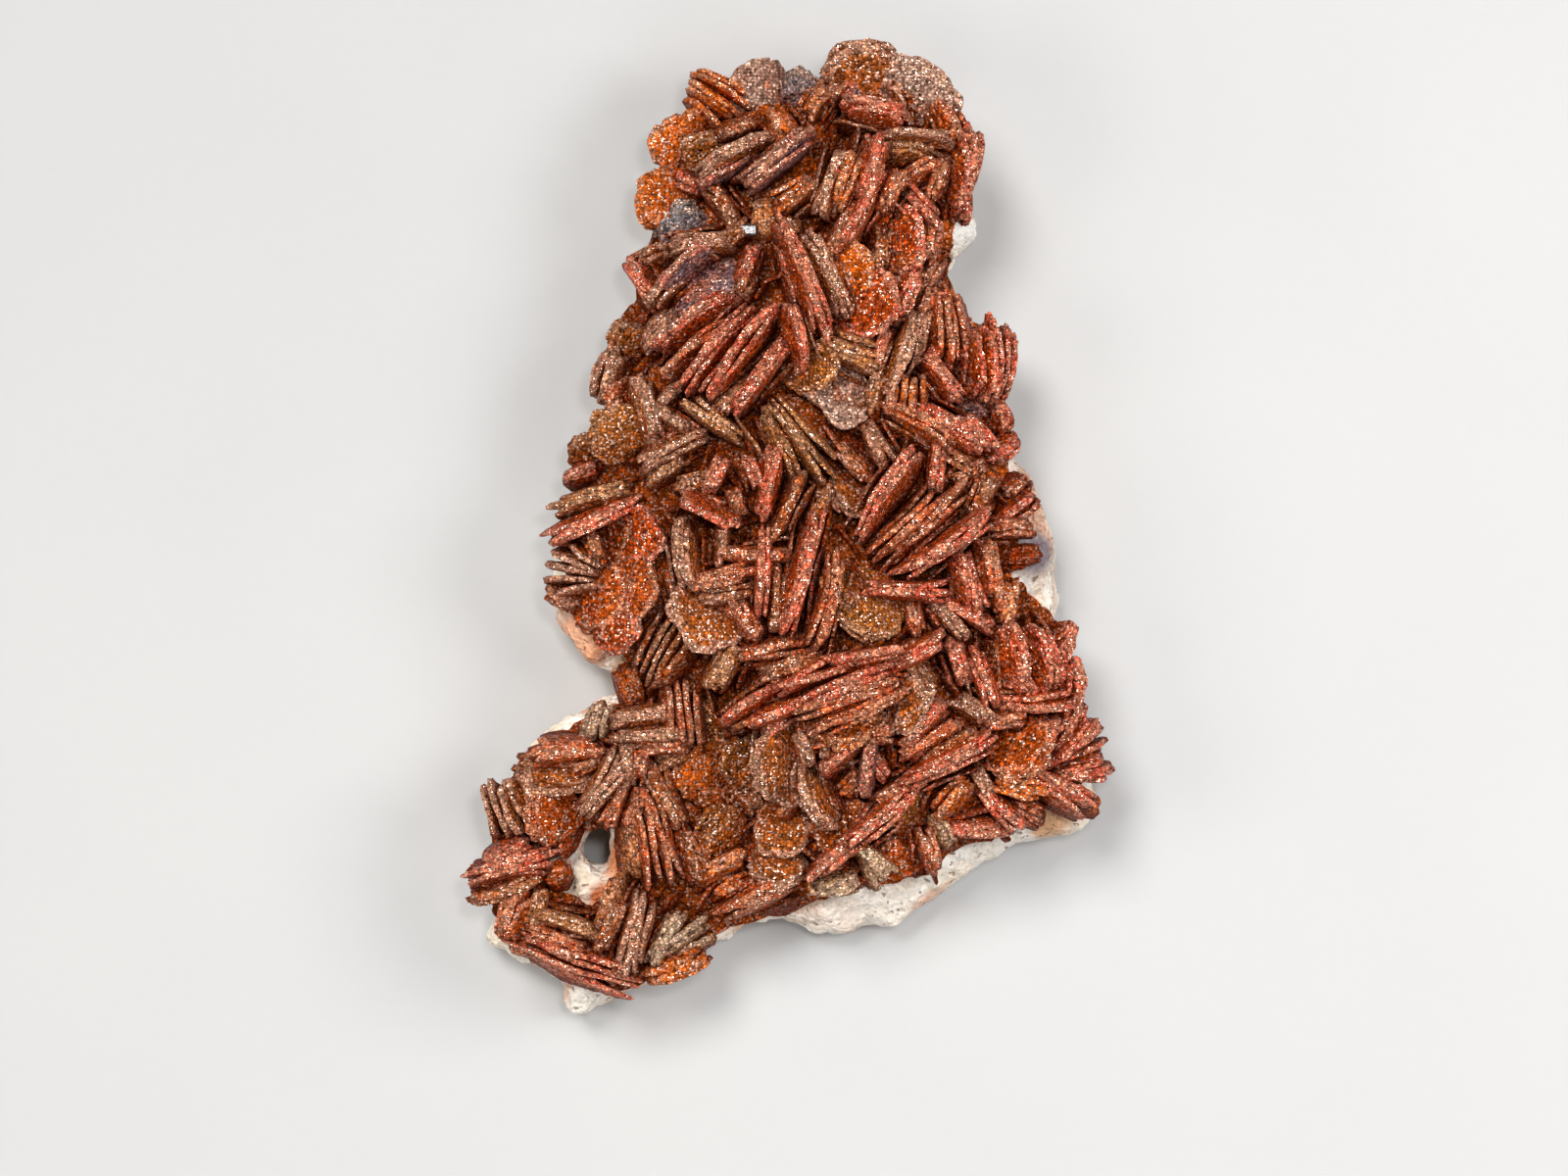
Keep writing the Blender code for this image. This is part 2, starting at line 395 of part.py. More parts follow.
def add_walls(bm, upper, lower):
    """Join two rings of vertices that run the same way, facing out of an anticlockwise ring."""
    for i in range(len(upper)):
        j = (i + 1) % len(upper)
        bm.faces.new((lower[i], lower[j], upper[j], upper[i]))


def split_rings(verts, loops):
    """Cut the leading vertices into one list for each loop."""
    rings = []
    first = 0
    for loop in loops:
        rings.append(verts[first:first + len(loop)])
        first += len(loop)
    return rings


def rock_mesh(grow):
    """The host rock. With grow, the room that it takes with a gap all around, for cutting others."""
    loops = [anticlockwise(ROCK_EDGE), list(reversed(anticlockwise(HOLE)))]
    points, triangles, ring_count = plan_triangles([inset(loop, WALL_RECESS) for loop in loops])
    heights = [rock_height(x, y) for x, y in points]
    rims = [p for loop in loops for p in inset(loop, WALL_RECESS - grow)]
    belts = [p for loop in loops for p in inset(loop, -grow)]
    soles = [p for loop in loops for p in inset(loop, SOLE_RECESS - grow)]
    places = rims + [tuple(p) for p in points[ring_count:]]
    bm = bmesh.new()
    top = [bm.verts.new((x * MM, y * MM, (z + grow) * MM)) for (x, y), z in zip(places, heights)]
    belt = [bm.verts.new((x * MM, y * MM, z * BELT_SHARE * MM)) for (x, y), z in zip(belts, heights)]
    sole = [bm.verts.new((x * MM, y * MM, -SOLE_DROP * grow * MM)) for x, y in soles]
    for face in triangles:
        bm.faces.new([top[i] for i in face])
    for upper, middle, lower in zip(*(split_rings(verts, loops) for verts in (top, belt, sole))):
        add_walls(bm, upper, middle)
        add_walls(bm, middle, lower)
    sole_loops = [inset(loop, SOLE_RECESS) for loop in loops]
    for face in plan_triangles(sole_loops, with_grid=False)[1]:
        bm.faces.new([sole[i] for i in reversed(face)])
    return bm


def footing_mesh():
    """The crust that covers the rock under all the blades, before it is shared out to the clusters."""
    loops = [anticlockwise(CRUST_EDGE), list(reversed(anticlockwise(WINDOW)))]
    points, triangles, _ = plan_triangles(loops)
    bm = bmesh.new()
    top = [bm.verts.new((x * MM, y * MM, crust_height(x, y) * MM)) for x, y in points]
    low = [bm.verts.new((x * MM, y * MM, (rock_height(x, y) - CRUST_BELOW) * MM)) for x, y in points]
    for face in triangles:
        bm.faces.new([top[i] for i in face])
        bm.faces.new([low[i] for i in reversed(face)])
    for upper, lower in zip(split_rings(top, loops), split_rings(low, loops)):
        add_walls(bm, upper, lower)
    return bm


def prism_mesh(loop):
    """An upright block over an anticlockwise loop."""
    bm = bmesh.new()
    low = [bm.verts.new((x * MM, y * MM, FLOOR * MM)) for x, y in loop]
    high = [bm.verts.new((x * MM, y * MM, CEILING * MM)) for x, y in loop]
    add_walls(bm, high, low)
    bm.faces.new(high)
    bm.faces.new(list(reversed(low)))
    return bm


def blade_mesh(sheaf, step, rng):
    """One flat crystal of a sheaf. step counts blades from the middle of the stack."""
    turn = math.radians(sheaf.turn + sheaf.spread * step)
    lean = math.radians(sheaf.lean)
    along = Vector((math.cos(turn), math.sin(turn), 0))
    side = Vector((-along.y, along.x, 0))
    up = side * math.sin(lean) + Vector((0, 0, math.cos(lean)))
    face = side * math.cos(lean) - Vector((0, 0, math.sin(lean)))
    length = sheaf.length * (1 - SHRINK * abs(step))
    height = sheaf.height * rng.uniform(0.94, 1.04)
    middle = Vector((sheaf.x, sheaf.y, 0)) + side * BLADE_PITCH * step
    foot = middle - side * math.sin(lean) * height / 2
    middle.z = crust_height(foot.x, foot.y) - SEAT + math.cos(lean) * height / 2
    sides = LENS_SIDES if length >= LENS_LENGTH else PLATE_SIDES
    start = rng.uniform(0, math.tau / sides)
    outline = []
    for i in range(sides):
        angle = start + math.tau * i / sides
        reach = rng.uniform(0.92, 1.06)
        across = math.copysign(abs(math.cos(angle)) ** BLUNTNESS, math.cos(angle)) * length / 2
        rise = math.copysign(abs(math.sin(angle)) ** BLUNTNESS, math.sin(angle)) * height / 2
        outline.append(along * across * reach + up * rise * reach)
    half = BLADE_THICKNESS / 2
    if length >= LENS_LENGTH:
        rings = [(CAP_SHARE, half), (1, 0), (CAP_SHARE, -half)]
    else:
        rings = [(PLATE_TAPER, half), (1, -half)]
    bm = bmesh.new()
    built = []
    for share, out in rings:
        places = [middle + point * share + face * out for point in outline]
        built.append([bm.verts.new(place * MM) for place in places])
    bm.faces.new(built[0])
    bm.faces.new(list(reversed(built[-1])))
    for upper, lower in zip(built, built[1:]):
        add_walls(bm, upper, lower)
    bmesh.ops.recalc_face_normals(bm, faces=bm.faces)
    return bm


def add_object(name, bm, material=None):
    """Turn a bmesh into a named object of the scene."""
    mesh = bpy.data.meshes.new(name)
    bm.to_mesh(mesh)
    bm.free()
    if material:
        mesh.materials.append(material)
    obj = bpy.data.objects.new(name, mesh)
    bpy.context.scene.collection.objects.link(obj)
    return obj


def combine(target, tool, operation):
    """Apply a Boolean of the tool to the target, and remove the tool."""
    modifier = target.modifiers.new("combine", "BOOLEAN")
    modifier.operation = operation
    modifier.solver = "EXACT"
    modifier.object = tool
    evaluated = target.evaluated_get(bpy.context.evaluated_depsgraph_get())
    old = target.data
    target.data = bpy.data.meshes.new_from_object(evaluated)
    target.modifiers.clear()
    bpy.data.meshes.remove(old)
    bpy.data.objects.remove(tool)


def keep_largest(obj):
    """Drop the crumbs that a cut leaves, and weld the corners that fell together."""
    bm = bmesh.new()
    bm.from_mesh(obj.data)
    bmesh.ops.remove_doubles(bm, verts=bm.verts, dist=WELD * MM)
    bmesh.ops.dissolve_degenerate(bm, edges=bm.edges, dist=WELD * MM)
    unseen = set(bm.verts)
    islands = []
    while unseen:
        island = set()
        front = [unseen.pop()]
        while front:
            vert = front.pop()
            island.add(vert)
            near = {edge.other_vert(vert) for edge in vert.link_edges} & unseen
            unseen -= near
            front += near
        islands.append(island)
    islands.sort(key=len)
    crumbs = [vert for island in islands[:-1] for vert in island]
    bmesh.ops.delete(bm, geom=crumbs, context="VERTS")
    bmesh.ops.dissolve_limit(bm, angle_limit=math.radians(FLATNESS), verts=bm.verts, edges=bm.edges)
    bmesh.ops.triangulate(bm, faces=bm.faces)
    bm.to_mesh(obj.data)
    bm.free()


def build_cluster(cluster, material):
    """The footing in one cell with all of its blades, as one closed solid clear of its neighbours."""
    rng = random.Random(cluster.name)
    cell = anticlockwise(cluster.cell)
    body = add_object(cluster.name, footing_mesh(), material)
    combine(body, add_object("cell", prism_mesh(inset(cell, -GAP))), "INTERSECT")
    for sheaf in cluster.sheaves:
        for i in range(sheaf.count):
            blade = add_object("blade", blade_mesh(sheaf, i - (sheaf.count - 1) / 2, rng))
            combine(body, blade, "UNION")
    combine(body, add_object("cell", prism_mesh(inset(cell, GAP / 2))), "INTERSECT")
    combine(body, add_object("room", rock_mesh(GAP)), "DIFFERENCE")
    keep_largest(body)
    return body


def build_grain(material):
    """The bright metallic crystal, a bevelled block that rests just above the crust."""
    width, depth, height = GRAIN_SIZE
    x, y = GRAIN_PLACE
    corners = [(x + sx * width / 2, y + sy * depth / 2) for sx in (-1, 0, 1) for sy in (-1, 0, 1)]
    base = max(crust_height(cx, cy) for cx, cy in corners) + GAP + GRAIN_LIFT
    bm = bmesh.new()
    bmesh.ops.create_cube(bm, size=1)
    bmesh.ops.scale(bm, vec=Vector((width, depth, height)) * MM, verts=bm.verts)
    bmesh.ops.bevel(bm, geom=bm.edges, offset=GRAIN_BEVEL * MM, offset_type="OFFSET", segments=1,
                    affect="EDGES", profile=0.5, material=-1)
    bmesh.ops.translate(bm, vec=Vector((x, y, base + height / 2)) * MM, verts=bm.verts)
    bmesh.ops.triangulate(bm, faces=bm.faces)
    return add_object("metallic_grain", bm, material)


def make_material(name, colour, roughness, metallic=0.0):
    """A plain Principled material of one colour."""
    material = bpy.data.materials.new(name)
    material.use_nodes = True
    shader = material.node_tree.nodes["Principled BSDF"]
    shader.inputs["Base Color"].default_value = (*colour, 1)
    shader.inputs["Roughness"].default_value = roughness
    shader.inputs["Metallic"].default_value = metallic
    return material


def centre_on_origin(objects):
    """Shift every piece alike, so that the whole stands on its middle with its sole at zero height."""
    corners = [vert.co for obj in objects for vert in obj.data.vertices]
    low = [min(corner[axis] for corner in corners) for axis in range(3)]
    high = [max(corner[axis] for corner in corners) for axis in range(3)]
    shift = Vector((-(low[0] + high[0]) / 2, -(low[1] + high[1]) / 2, -low[2]))
    for obj in objects:
        obj.data.transform(Matrix.Translation(shift))


def main():
    for obj in list(bpy.data.objects):
        bpy.data.objects.remove(obj)
    rock = make_material("pale_barite", (0.78, 0.66, 0.52), 0.75)
    coat = make_material("vanadinite_coat", (0.42, 0.13, 0.06), 0.5)
    metal = make_material("bright_metal", (0.75, 0.76, 0.78), 0.2, 1.0)
    matrix = rock_mesh(0)
    bmesh.ops.triangulate(matrix, faces=matrix.faces)
    pieces = [add_object("matrix", matrix, rock)]
    for cluster in CLUSTERS:
        pieces.append(build_cluster(cluster, coat))
    pieces.append(build_grain(metal))
    centre_on_origin(pieces)


main()
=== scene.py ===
"""Looks of the vanadinite on matrix: a pale rock under sheaves of barite blades with a red druse.

Places are given in millimetres as seen from above, +X to the right and +Y to the top of the picture.
Each finished mesh is moved onto the solids of the frame and scaled to metres.
"""

import logging
import math
import random
from dataclasses import dataclass, field
from enum import Enum
from typing import Any, Callable, ClassVar, Iterable, Sequence

import bmesh
import bpy
from mathutils import Matrix, Vector, noise


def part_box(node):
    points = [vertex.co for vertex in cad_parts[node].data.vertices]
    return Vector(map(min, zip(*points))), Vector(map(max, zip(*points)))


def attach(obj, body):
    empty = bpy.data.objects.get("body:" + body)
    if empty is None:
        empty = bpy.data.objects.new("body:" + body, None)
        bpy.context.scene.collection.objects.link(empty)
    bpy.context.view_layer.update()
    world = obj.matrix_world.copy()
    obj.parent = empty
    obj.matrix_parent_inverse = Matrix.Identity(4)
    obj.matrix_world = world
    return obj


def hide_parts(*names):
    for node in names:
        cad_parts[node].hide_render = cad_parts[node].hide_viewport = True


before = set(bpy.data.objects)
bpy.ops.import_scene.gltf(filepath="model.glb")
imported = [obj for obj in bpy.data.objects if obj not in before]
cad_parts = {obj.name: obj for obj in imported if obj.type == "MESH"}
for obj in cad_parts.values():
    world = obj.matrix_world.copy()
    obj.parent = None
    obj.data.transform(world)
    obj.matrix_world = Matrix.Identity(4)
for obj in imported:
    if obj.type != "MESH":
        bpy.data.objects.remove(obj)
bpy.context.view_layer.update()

LOG = logging.getLogger("specimen")
MM = 0.001
BODY = "root"
REACH = 66.0  # half the width of the area that the grids cover, in mm
CLOSE = 1e-4  # points nearer to each other than this, in mm, are one
LYING = 0.6  # lean in radians from which a blade shows its face from above

Point = tuple[float, float]
Loop = list[Point]
Colour = tuple[float, float, float]


def srgb(red: int, green: int, blue: int) -> Colour:
    """Turn a colour as seen on a screen into linear light.

    Args:
        red: Red from 0 to 255.
        green: Green from 0 to 255.
        blue: Blue from 0 to 255.

    Returns:
        The linear colour.
    """
    shares = (value / 255 for value in (red, green, blue))
    return tuple(s / 12.92 if s <= 0.04045 else ((s + 0.055) / 1.055) ** 2.4 for s in shares)


def blend(first: Sequence[float], second: Sequence[float], share: float) -> Colour:
    """Mix two colours by a share that is held between 0 and 1."""
    share = min(max(share, 0.0), 1.0)
    return tuple(a + (b - a) * share for a, b in zip(first, second))


def ramp(low: float, high: float, value: float) -> float:
    """Smooth step from 0 at low to 1 at high."""
    share = min(max((value - low) / (high - low), 0.0), 1.0)
    return share * share * (3 - 2 * share)


def wave(x: float, y: float, layer: float, size: float) -> float:
    """Smooth noise from -1 to 1 with waves about size mm wide; each layer has its own."""
    return noise.noise(Vector((x, y, layer)) / size)


def to_mesh(name: str, bm: bmesh.types.BMesh) -> bpy.types.Mesh:
    """Turn a bmesh into a mesh and free it."""
    mesh = bpy.data.meshes.new(name)
    bm.to_mesh(mesh)
    bm.free()
    return mesh


def add_object(name: str, data: bpy.types.ID) -> bpy.types.Object:
    """Put a new object into the scene."""
    obj = bpy.data.objects.new(name, data)
    bpy.context.scene.collection.objects.link(obj)
    return obj


def into_frame(bm: bmesh.types.BMesh, shift: Vector) -> None:
    """Move a mesh from the drawing's place to the frame's, and from mm to metres."""
    bmesh.ops.translate(bm, vec=shift, verts=bm.verts)
    bmesh.ops.scale(bm, vec=(MM,) * 3, verts=bm.verts)


class Tone(Enum):
    """Colours of a blade's coat: its faces, then its rim."""

    RED = (srgb(164, 60, 12), srgb(206, 94, 68))
    RUST = (srgb(162, 66, 12), srgb(194, 94, 54))
    BROWN = (srgb(128, 54, 8), srgb(160, 80, 36))
    GREY = (srgb(150, 78, 30), srgb(178, 122, 96))
    VIOLET = (srgb(118, 100, 106), srgb(178, 100, 82))
    SLATE = (srgb(124, 128, 132), srgb(146, 140, 136))
    ASH = (srgb(152, 122, 106), srgb(184, 142, 122))
    BEIGE = (srgb(150, 86, 34), srgb(170, 108, 60))
    AMBER = (srgb(206, 94, 20), srgb(212, 104, 36))
    SMOKY = (srgb(122, 62, 16), srgb(148, 80, 26))
    PALE = (srgb(170, 138, 94), srgb(184, 160, 130))
    PEACH = (srgb(210, 136, 80), srgb(198, 124, 74))


@dataclass(frozen=True)
class Sheaf:
    """A stack of parallel blades, seen from above.

    Attributes:
        x: Middle of the stack, in mm.
        y: Middle of the stack, in mm.
        turn: Direction of the blades' edge from +X, in degrees.
        length: Length of one blade, in mm.
        height: Height of one blade, from its foot in the crust, in mm.
        tone: Colour of the coat.
        count: Number of blades in the stack.
        lean: Tilt off the vertical towards the left of the edge, in degrees.
        spread: Turn from one blade to the next, in degrees.
        pitch: Distance between neighbouring blades, in mm.
    """

    x: float
    y: float
    turn: float
    length: float
    height: float
    tone: Tone = Tone.RUST
    count: int = 1
    lean: float = 0.0
    spread: float = 0.0
    pitch: float = 1.35


RED, RUST, BROWN, GREY, VIOLET = Tone.RED, Tone.RUST, Tone.BROWN, Tone.GREY, Tone.VIOLET
BEIGE, AMBER, SMOKY, PALE, PEACH = Tone.BEIGE, Tone.AMBER, Tone.SMOKY, Tone.PALE, Tone.PEACH
SLATE, ASH = Tone.SLATE, Tone.ASH

# The blades of each cluster as seen from above: the fields of a Sheaf, stack by stack
SHEAVES: dict[str, list[tuple[Any, ...]]] = {
    "crown_left": [
        (-8.4, 53.4, -34, 8.5, 8.5, AMBER, 5, 4, 4, 1.2), (-3, 54.4, 97, 8.5, 8, ASH, 1, 52),
        (2, 55, 10, 4.5, 5, SLATE, 1, 40), (-0.2, 49.4, -62, 4.5, 7, AMBER, 3),
        (-9.8, 46.8, 20, 5.5, 5.5, BEIGE, 1, 48), (-13.4, 47.6, 76, 6.5, 7, AMBER, 2, 46),
        (-15.1, 41.4, 86, 8.5, 7, AMBER, 2, 44), (-5.5, 46.5, 29, 11.5, 9.5, GREY, 1, 8),
        (-6.5, 44.6, 31, 9, 8, VIOLET, 1, 6), (-11.6, 43, -30, 4.5, 6, RED, 2),
        (-0.6, 45.4, 38, 11, 9, VIOLET, 2, 6), (3.6, 53, 60, 5, 6.5, AMBER, 3),
        (4.6, 52.9, 85, 6, 6, BROWN), (-5.8, 50, 22, 6, 6, BROWN, 2),
        (-11.5, 50.2, 50, 5.5, 6.5, AMBER, 2, 20),
    ],
    "crown_right": [
        (9.5, 56.6, 8, 10, 8.5, GREY, 2, 42, 3), (16, 54.4, -40, 10.5, 8.5, ASH, 3, 42, 3),
        (10.7, 51.4, -12, 8.5, 9.5, RED, 3, 6), (16, 48.2, 0, 9.5, 9, GREY, 2, 6),
        (19.5, 50.4, -62, 7, 8.5, RUST, 3, 20), (21.9, 44.8, 82, 11, 9, RED, 3, -16, 5),
        (16.3, 43.6, 30, 7, 7.5, RUST, 2, 10), (10, 54.2, 95, 4.5, 6, VIOLET, 1, 30),
        (14, 54, -50, 5, 6.5, GREY, 3, 14), (15.2, 46.4, -5, 6, 6, BEIGE, 2, 20),
        (19.2, 43.2, 70, 6, 7, RUST, 3), (21.5, 40.8, 95, 5, 6.5, RED, 2, -10),
        (6.8, 54.2, 40, 4.5, 6.5, RUST, 2, 10),
    ],
    "neck_left": [
        (-13.2, 38.3, 18, 6.2, 6, SLATE, 2, 40), (-7.4, 40, -56, 6.7, 6.5, BROWN, 2),
        (-17.2, 31, -54, 7.5, 8, RED, 2, -8), (-12.2, 32.4, 40, 9, 8.5, VIOLET, 1, 14),
        (-9.5, 30.2, 35, 9, 7.5, VIOLET, 2, -40), (-9.8, 35.3, 7, 9, 8, GREY, 2, 6),
        (-4.6, 33, 70, 5, 7, RED), (-4.8, 30.3, 68, 4, 6, BROWN, 2),
        (-16.2, 33.8, 20, 5, 6, BROWN, 2, 20), (-14.8, 29.4, 45, 6, 6.5, GREY, 2, 16),
        (-6, 36.6, 35, 4.5, 5.5, SMOKY, 2),
    ],
    "neck_right": [
        (1.4, 41.6, 34, 7, 7, AMBER, 3), (5.6, 42, 70, 9.5, 8.5, GREY, 1, 4),
        (7.2, 42.5, 70, 8, 8, AMBER, 2, 0), (10, 44.2, 71, 9.5, 9.5, RED, 3, -4),
        (9.6, 39.6, 62, 11.5, 9, RED, 2), (2.3, 30.6, -70, 16.5, 10.5, RED, 2, 6),
        (5, 31.6, -66, 12, 8.5, GREY, 2, 6), (7.6, 32.4, -60, 8, 7, AMBER, 1, 44),
        (14.2, 36, 95, 9, 8.5, RED, 2, -32), (16.4, 40.2, -50, 6.5, 7.5, RED, 2),
        (10.2, 28.6, 73, 9, 9, RED, 1, -46), (14.2, 29.6, 66, 8.5, 8, RED, 2, -22),
        (17.6, 31.4, 60, 6, 6.5, RUST, 2), (12.6, 41.4, 66, 6, 7.5, RUST, 2, -10),
        (7, 36.6, 62, 8, 7, RUST, 2), (11, 34.4, 80, 6, 6, BROWN, 2, -20),
        (17.6, 35.8, 85, 6, 6.5, RUST, 3, -12), (0.2, 36.4, 60, 5, 5.5, SMOKY, 2),
        (-1.4, 38.9, 12, 5.5, 4.2, PEACH, 1, 58),
    ],
    "shoulder_left": [
        (-10.6, 25.6, 35, 12.5, 9, RED, 2, 18, 2), (-10.9, 22, 39, 11, 8.5, RUST, 2, 10, 2),
        (-8, 22.4, 49, 14.5, 10.5, RED, 2, 9, 2), (-5.2, 21.8, 54, 15.5, 10.5, RED, 2, 6, 1),
        (-3, 19, 52, 11.5, 9, RED, 2), (1.2, 23.8, -75, 8.5, 9, RED, 2, 8),
        (2.8, 20, 85, 6.5, 7.5, BEIGE, 3, -42), (-8.5, 13.5, -36, 9, 7.5, BEIGE, 2),
        (-13.4, 13.9, -34, 6, 6.5, GREY), (-13.4, 10.4, 29, 10, 8, GREY, 2, -4),
        (-14.6, 7.6, 35, 6, 6, BEIGE, 2), (-14.3, 16.8, 43, 4.5, 6, GREY),
        (-17, 14.8, -75, 9.3, 8, GREY, 3, 6), (-21.6, 19.4, 72, 7.5, 7.5, GREY, 3, 14),
        (-20.2, 17, 80, 5, 6.5, RUST, 2, 20), (-20.6, 12.3, 20, 7, 7, BEIGE, 2, 46),
        (-24.4, 10, 20, 5, 5.5, SMOKY, 2, 34), (-19.6, 24, 40, 4.5, 5, BEIGE, 2, 40),
        (-15.4, 25, 50, 6.5, 6.5, GREY, 3), (-6.2, 16.6, 48, 7, 7, BROWN, 2),
    ],
    "shoulder_right": [
        (8.2, 22.4, -22, 8.5, 7, BEIGE, 4, 0, 2, 1.1), (13.7, 21, 69, 12, 9, GREY, 1, -8),
        (11.8, 22.4, 74, 7, 7, RED, 1), (16.6, 24, 78, 7, 7.5, GREY, 2),
        (20.2, 24.8, -82, 10.5, 8.5, RUST, 4, 4, 3), (25.2, 21.4, 88, 10.5, 8.5, RED, 5, -18, 4, 1.2),
        (19.2, 18.8, -52, 7.5, 8, RED, 2, 6), (26.2, 15, -60, 5, 6, RED, 2, 16),
        (23.2, 15.4, 20, 4, 4.5, VIOLET, 2, 30), (26.6, 10.4, 40, 5, 5.5, RED, 2, -20),
        (16.8, 12.6, -30, 11.5, 8.5, RUST, 2, 12, 2), (20.2, 12.6, -33, 10.5, 9, RED, 3, 12, 2),
        (23.6, 12.6, -48, 6.5, 7, RED, 1, 6), (15, 17, 88, 5, 7, AMBER, 4),
        (7, 16.6, -32, 8.5, 7, ASH, 1, -46), (17.4, 28, 60, 5, 6, RUST, 2),
        (11, 17, 62, 7, 6, SMOKY, 2, 10), (21, 9.4, -30, 5.5, 6, BROWN, 2),
    ],
    "heart": [
        (1, 10.8, -58, 12.5, 9.5, BEIGE, 5, 2, 5, 1.25), (11.2, 10.6, -65, 6.5, 7, GREY, 2),
        (-8.7, 2.6, -20, 8.5, 8.5, RED, 1, -12), (-8.4, 7, 72, 5, 6.5, RED),
        (-1.9, 6, 80, 9, 11, RED, 2), (-4, 7.8, -65, 4.5, 8.5, RED),
        (-5.8, 3.8, -75, 4, 6, BROWN), (0.4, 3.4, 66, 8.5, 8.5, BROWN, 1),
        (7.9, 4.8, -42, 6.5, 6, GREY, 1, -40), (-11, 5.6, 20, 6, 5, SMOKY, 2, 20),
        (4.4, 3.4, 70, 6, 5.5, SMOKY, 2), (8.6, 8.6, -50, 6, 5.5, BROWN, 2, -14),
    ],
    "waist": [
        (-2.4, -5, 88, 12, 10.5, RED), (-11.9, -2.6, -80, 9, 8.5, GREY, 2, -14),
        (-7.6, -1.8, 85, 5, 6.5, GREY), (-3.4, -2.9, -3, 10, 8, RUST, 1),
        (-7.2, -5.4, 13, 8.5, 7.5, RUST, 2), (-7.2, -7.6, 9, 7.5, 6.5, BROWN, 2),
        (-9.3, -11, -35, 10.5, 8, GREY, 1, -46), (-5, -10.4, -50, 6.5, 7, RUST, 3),
        (1.9, -4.6, 76, 17, 9.5, RED, 2, -5), (5, -8.2, 78, 12.5, 9.5, RUST, 2, -5),
        (-0.7, -8.4, 85, 8.5, 7.5, BROWN, 3, 0, 0, 1.1), (-14.4, -14, 60, 11, 7, BROWN, 5, 8, 2),
        (-7.4, -16.2, 62, 6.5, 7, BEIGE, 3), (-1.4, -14.2, 12, 9.5, 7, RUST, 2, 0, 4),
        (0.2, -16.6, 19, 8, 6.5, BROWN, 3), (-12.6, -7.8, -70, 6, 6, BROWN, 2),
    ],
    "flank_left": [
        (-23.4, 4.4, 16, 11.5, 7.5, BEIGE, 2, 6), (-23.6, 1.6, 24, 14, 9, RED, 2, -4),
        (-25.4, 7.2, 20, 4.5, 5.5, RED, 1, 10), (-25.6, -4.6, 168, 7, 7, GREY, 5, 0, 10, 1.2),
        (-19.6, -6.2, 80, 12.5, 10, RUST, 2, -46), (-22.4, -7.8, 76, 9, 8, RUST, 2, -40),
        (-18.7, -0.4, 85, 7.5, 8, RED, 2, -42), (-23.4, -1.8, -70, 4.5, 6, BROWN, 2),
        (-20.6, -11.8, 70, 6, 6.5, RED, 2, -40), (-27, -8, 150, 5, 5, GREY, 2, 20),
    ],
    "flank_right": [
        (12.2, 4.4, 56, 14.5, 9.5, RED, 2, 6), (18.6, 7.6, 85, 6.5, 7.5, RED, 1),
        (14.8, 0.4, 40, 12, 8.5, RUST, 2, 4), (17.6, 1.6, 41, 13, 8.5, RUST, 2, 2),
        (19.6, -1.4, 35, 15.5, 10.5, RED, 2, -4), (14.5, -7.2, -4, 11.5, 8.5, RED, 2, 4),
        (22.2, -6, -72, 9, 8, RED, 3, 6, 2), (24.9, -4.8, -80, 9, 7.5, RUST, 2, 10),
        (22.4, -10.2, -32, 7.5, 7.5, RED, 1), (20.2, -10.8, -48, 6.5, 7, GREY, 1),
        (9.8, -8.8, -42, 10, 9, BEIGE, 3, -40, 5), (7, -6.4, -62, 6, 7, SMOKY, 3, -20),
        (28.1, 5.4, 35, 4, 5, RUST, 2, -14), (28, 2.8, 38, 5.5, 5.5, RED, 2, -14),
        (27.2, 0.6, 2, 6.5, 5.5, RUST, 2, 0), (29.2, -2.8, 10, 4.5, 4, RED, 2),
        (27, -8.6, 85, 6, 6.5, AMBER, 2, -12), (15.8, -10.4, -80, 4.5, 6, RUST, 2),
        (23.4, 4.4, 60, 7, 6.5, BROWN, 3, -6), (22, 7.4, 20, 6, 5.5, BROWN, 2),
    ],
    "belly": [
        (-3.8, -21.1, 31, 9.5, 9, RED, 1, 10), (3.2, -17.6, 22, 10.5, 11, RED, 2, 8, 2),
        (9.8, -15.4, 10, 9, 10, RED, 2, 6), (-0.6, -21.7, 24, 9, 9, RED, 1),
        (7.6, -18.5, 22, 12.5, 10, RED, 1), (16, -14.9, 29, 8, 10, RED, 1),
        (8.2, -19.9, 18, 14.5, 9, RUST, 1), (8.8, -21.2, 25, 13.5, 8.5, RUST, 2, -12),
        (6.8, -22.8, 20, 10.5, 7.5, BROWN, 2, -42), (15, -20.6, 75, 7, 7.5, GREY, 2, -30),
        (3, -16, 14, 10, 7.5, BROWN, 1), (16.5, -17.4, -50, 4.5, 6, BEIGE, 3),
        (-5, -22.2, 28, 6, 7, AMBER, 2), (-1, -23.4, 30, 5, 6, RED, 1),
    ],
    "hollow": [
        (-9.6, -24, -58, 7.5, 6.5, SMOKY, 2, 34), (-4.6, -28, 60, 6, 6.5, SMOKY, 3, 42),
        (-10.4, -29, 70, 7, 6, AMBER, 3, 38), (-5.6, -33, -40, 6, 5.5, BROWN, 2, 36),
        (-8, -36.8, 55, 7, 6, SMOKY, 3, 36), (-8.4, -41.4, 25, 8, 6, AMBER, 2, 10),
        (-9.2, -33, 20, 4, 4.5, AMBER, 2, 30), (-11.2, -40, -70, 7, 5.5, BROWN, 3, 10),
        (-7, -26.4, -30, 5, 5, AMBER, 2, 20), (-6.6, -44, 30, 6, 5, AMBER, 2, 10),
    ],
    "skirt_middle": [
        (-0.2, -28.4, 82, 10.5, 8.5, GREY, 3, 38, 3), (2.4, -26.4, -70, 5, 6.5, GREY, 1),
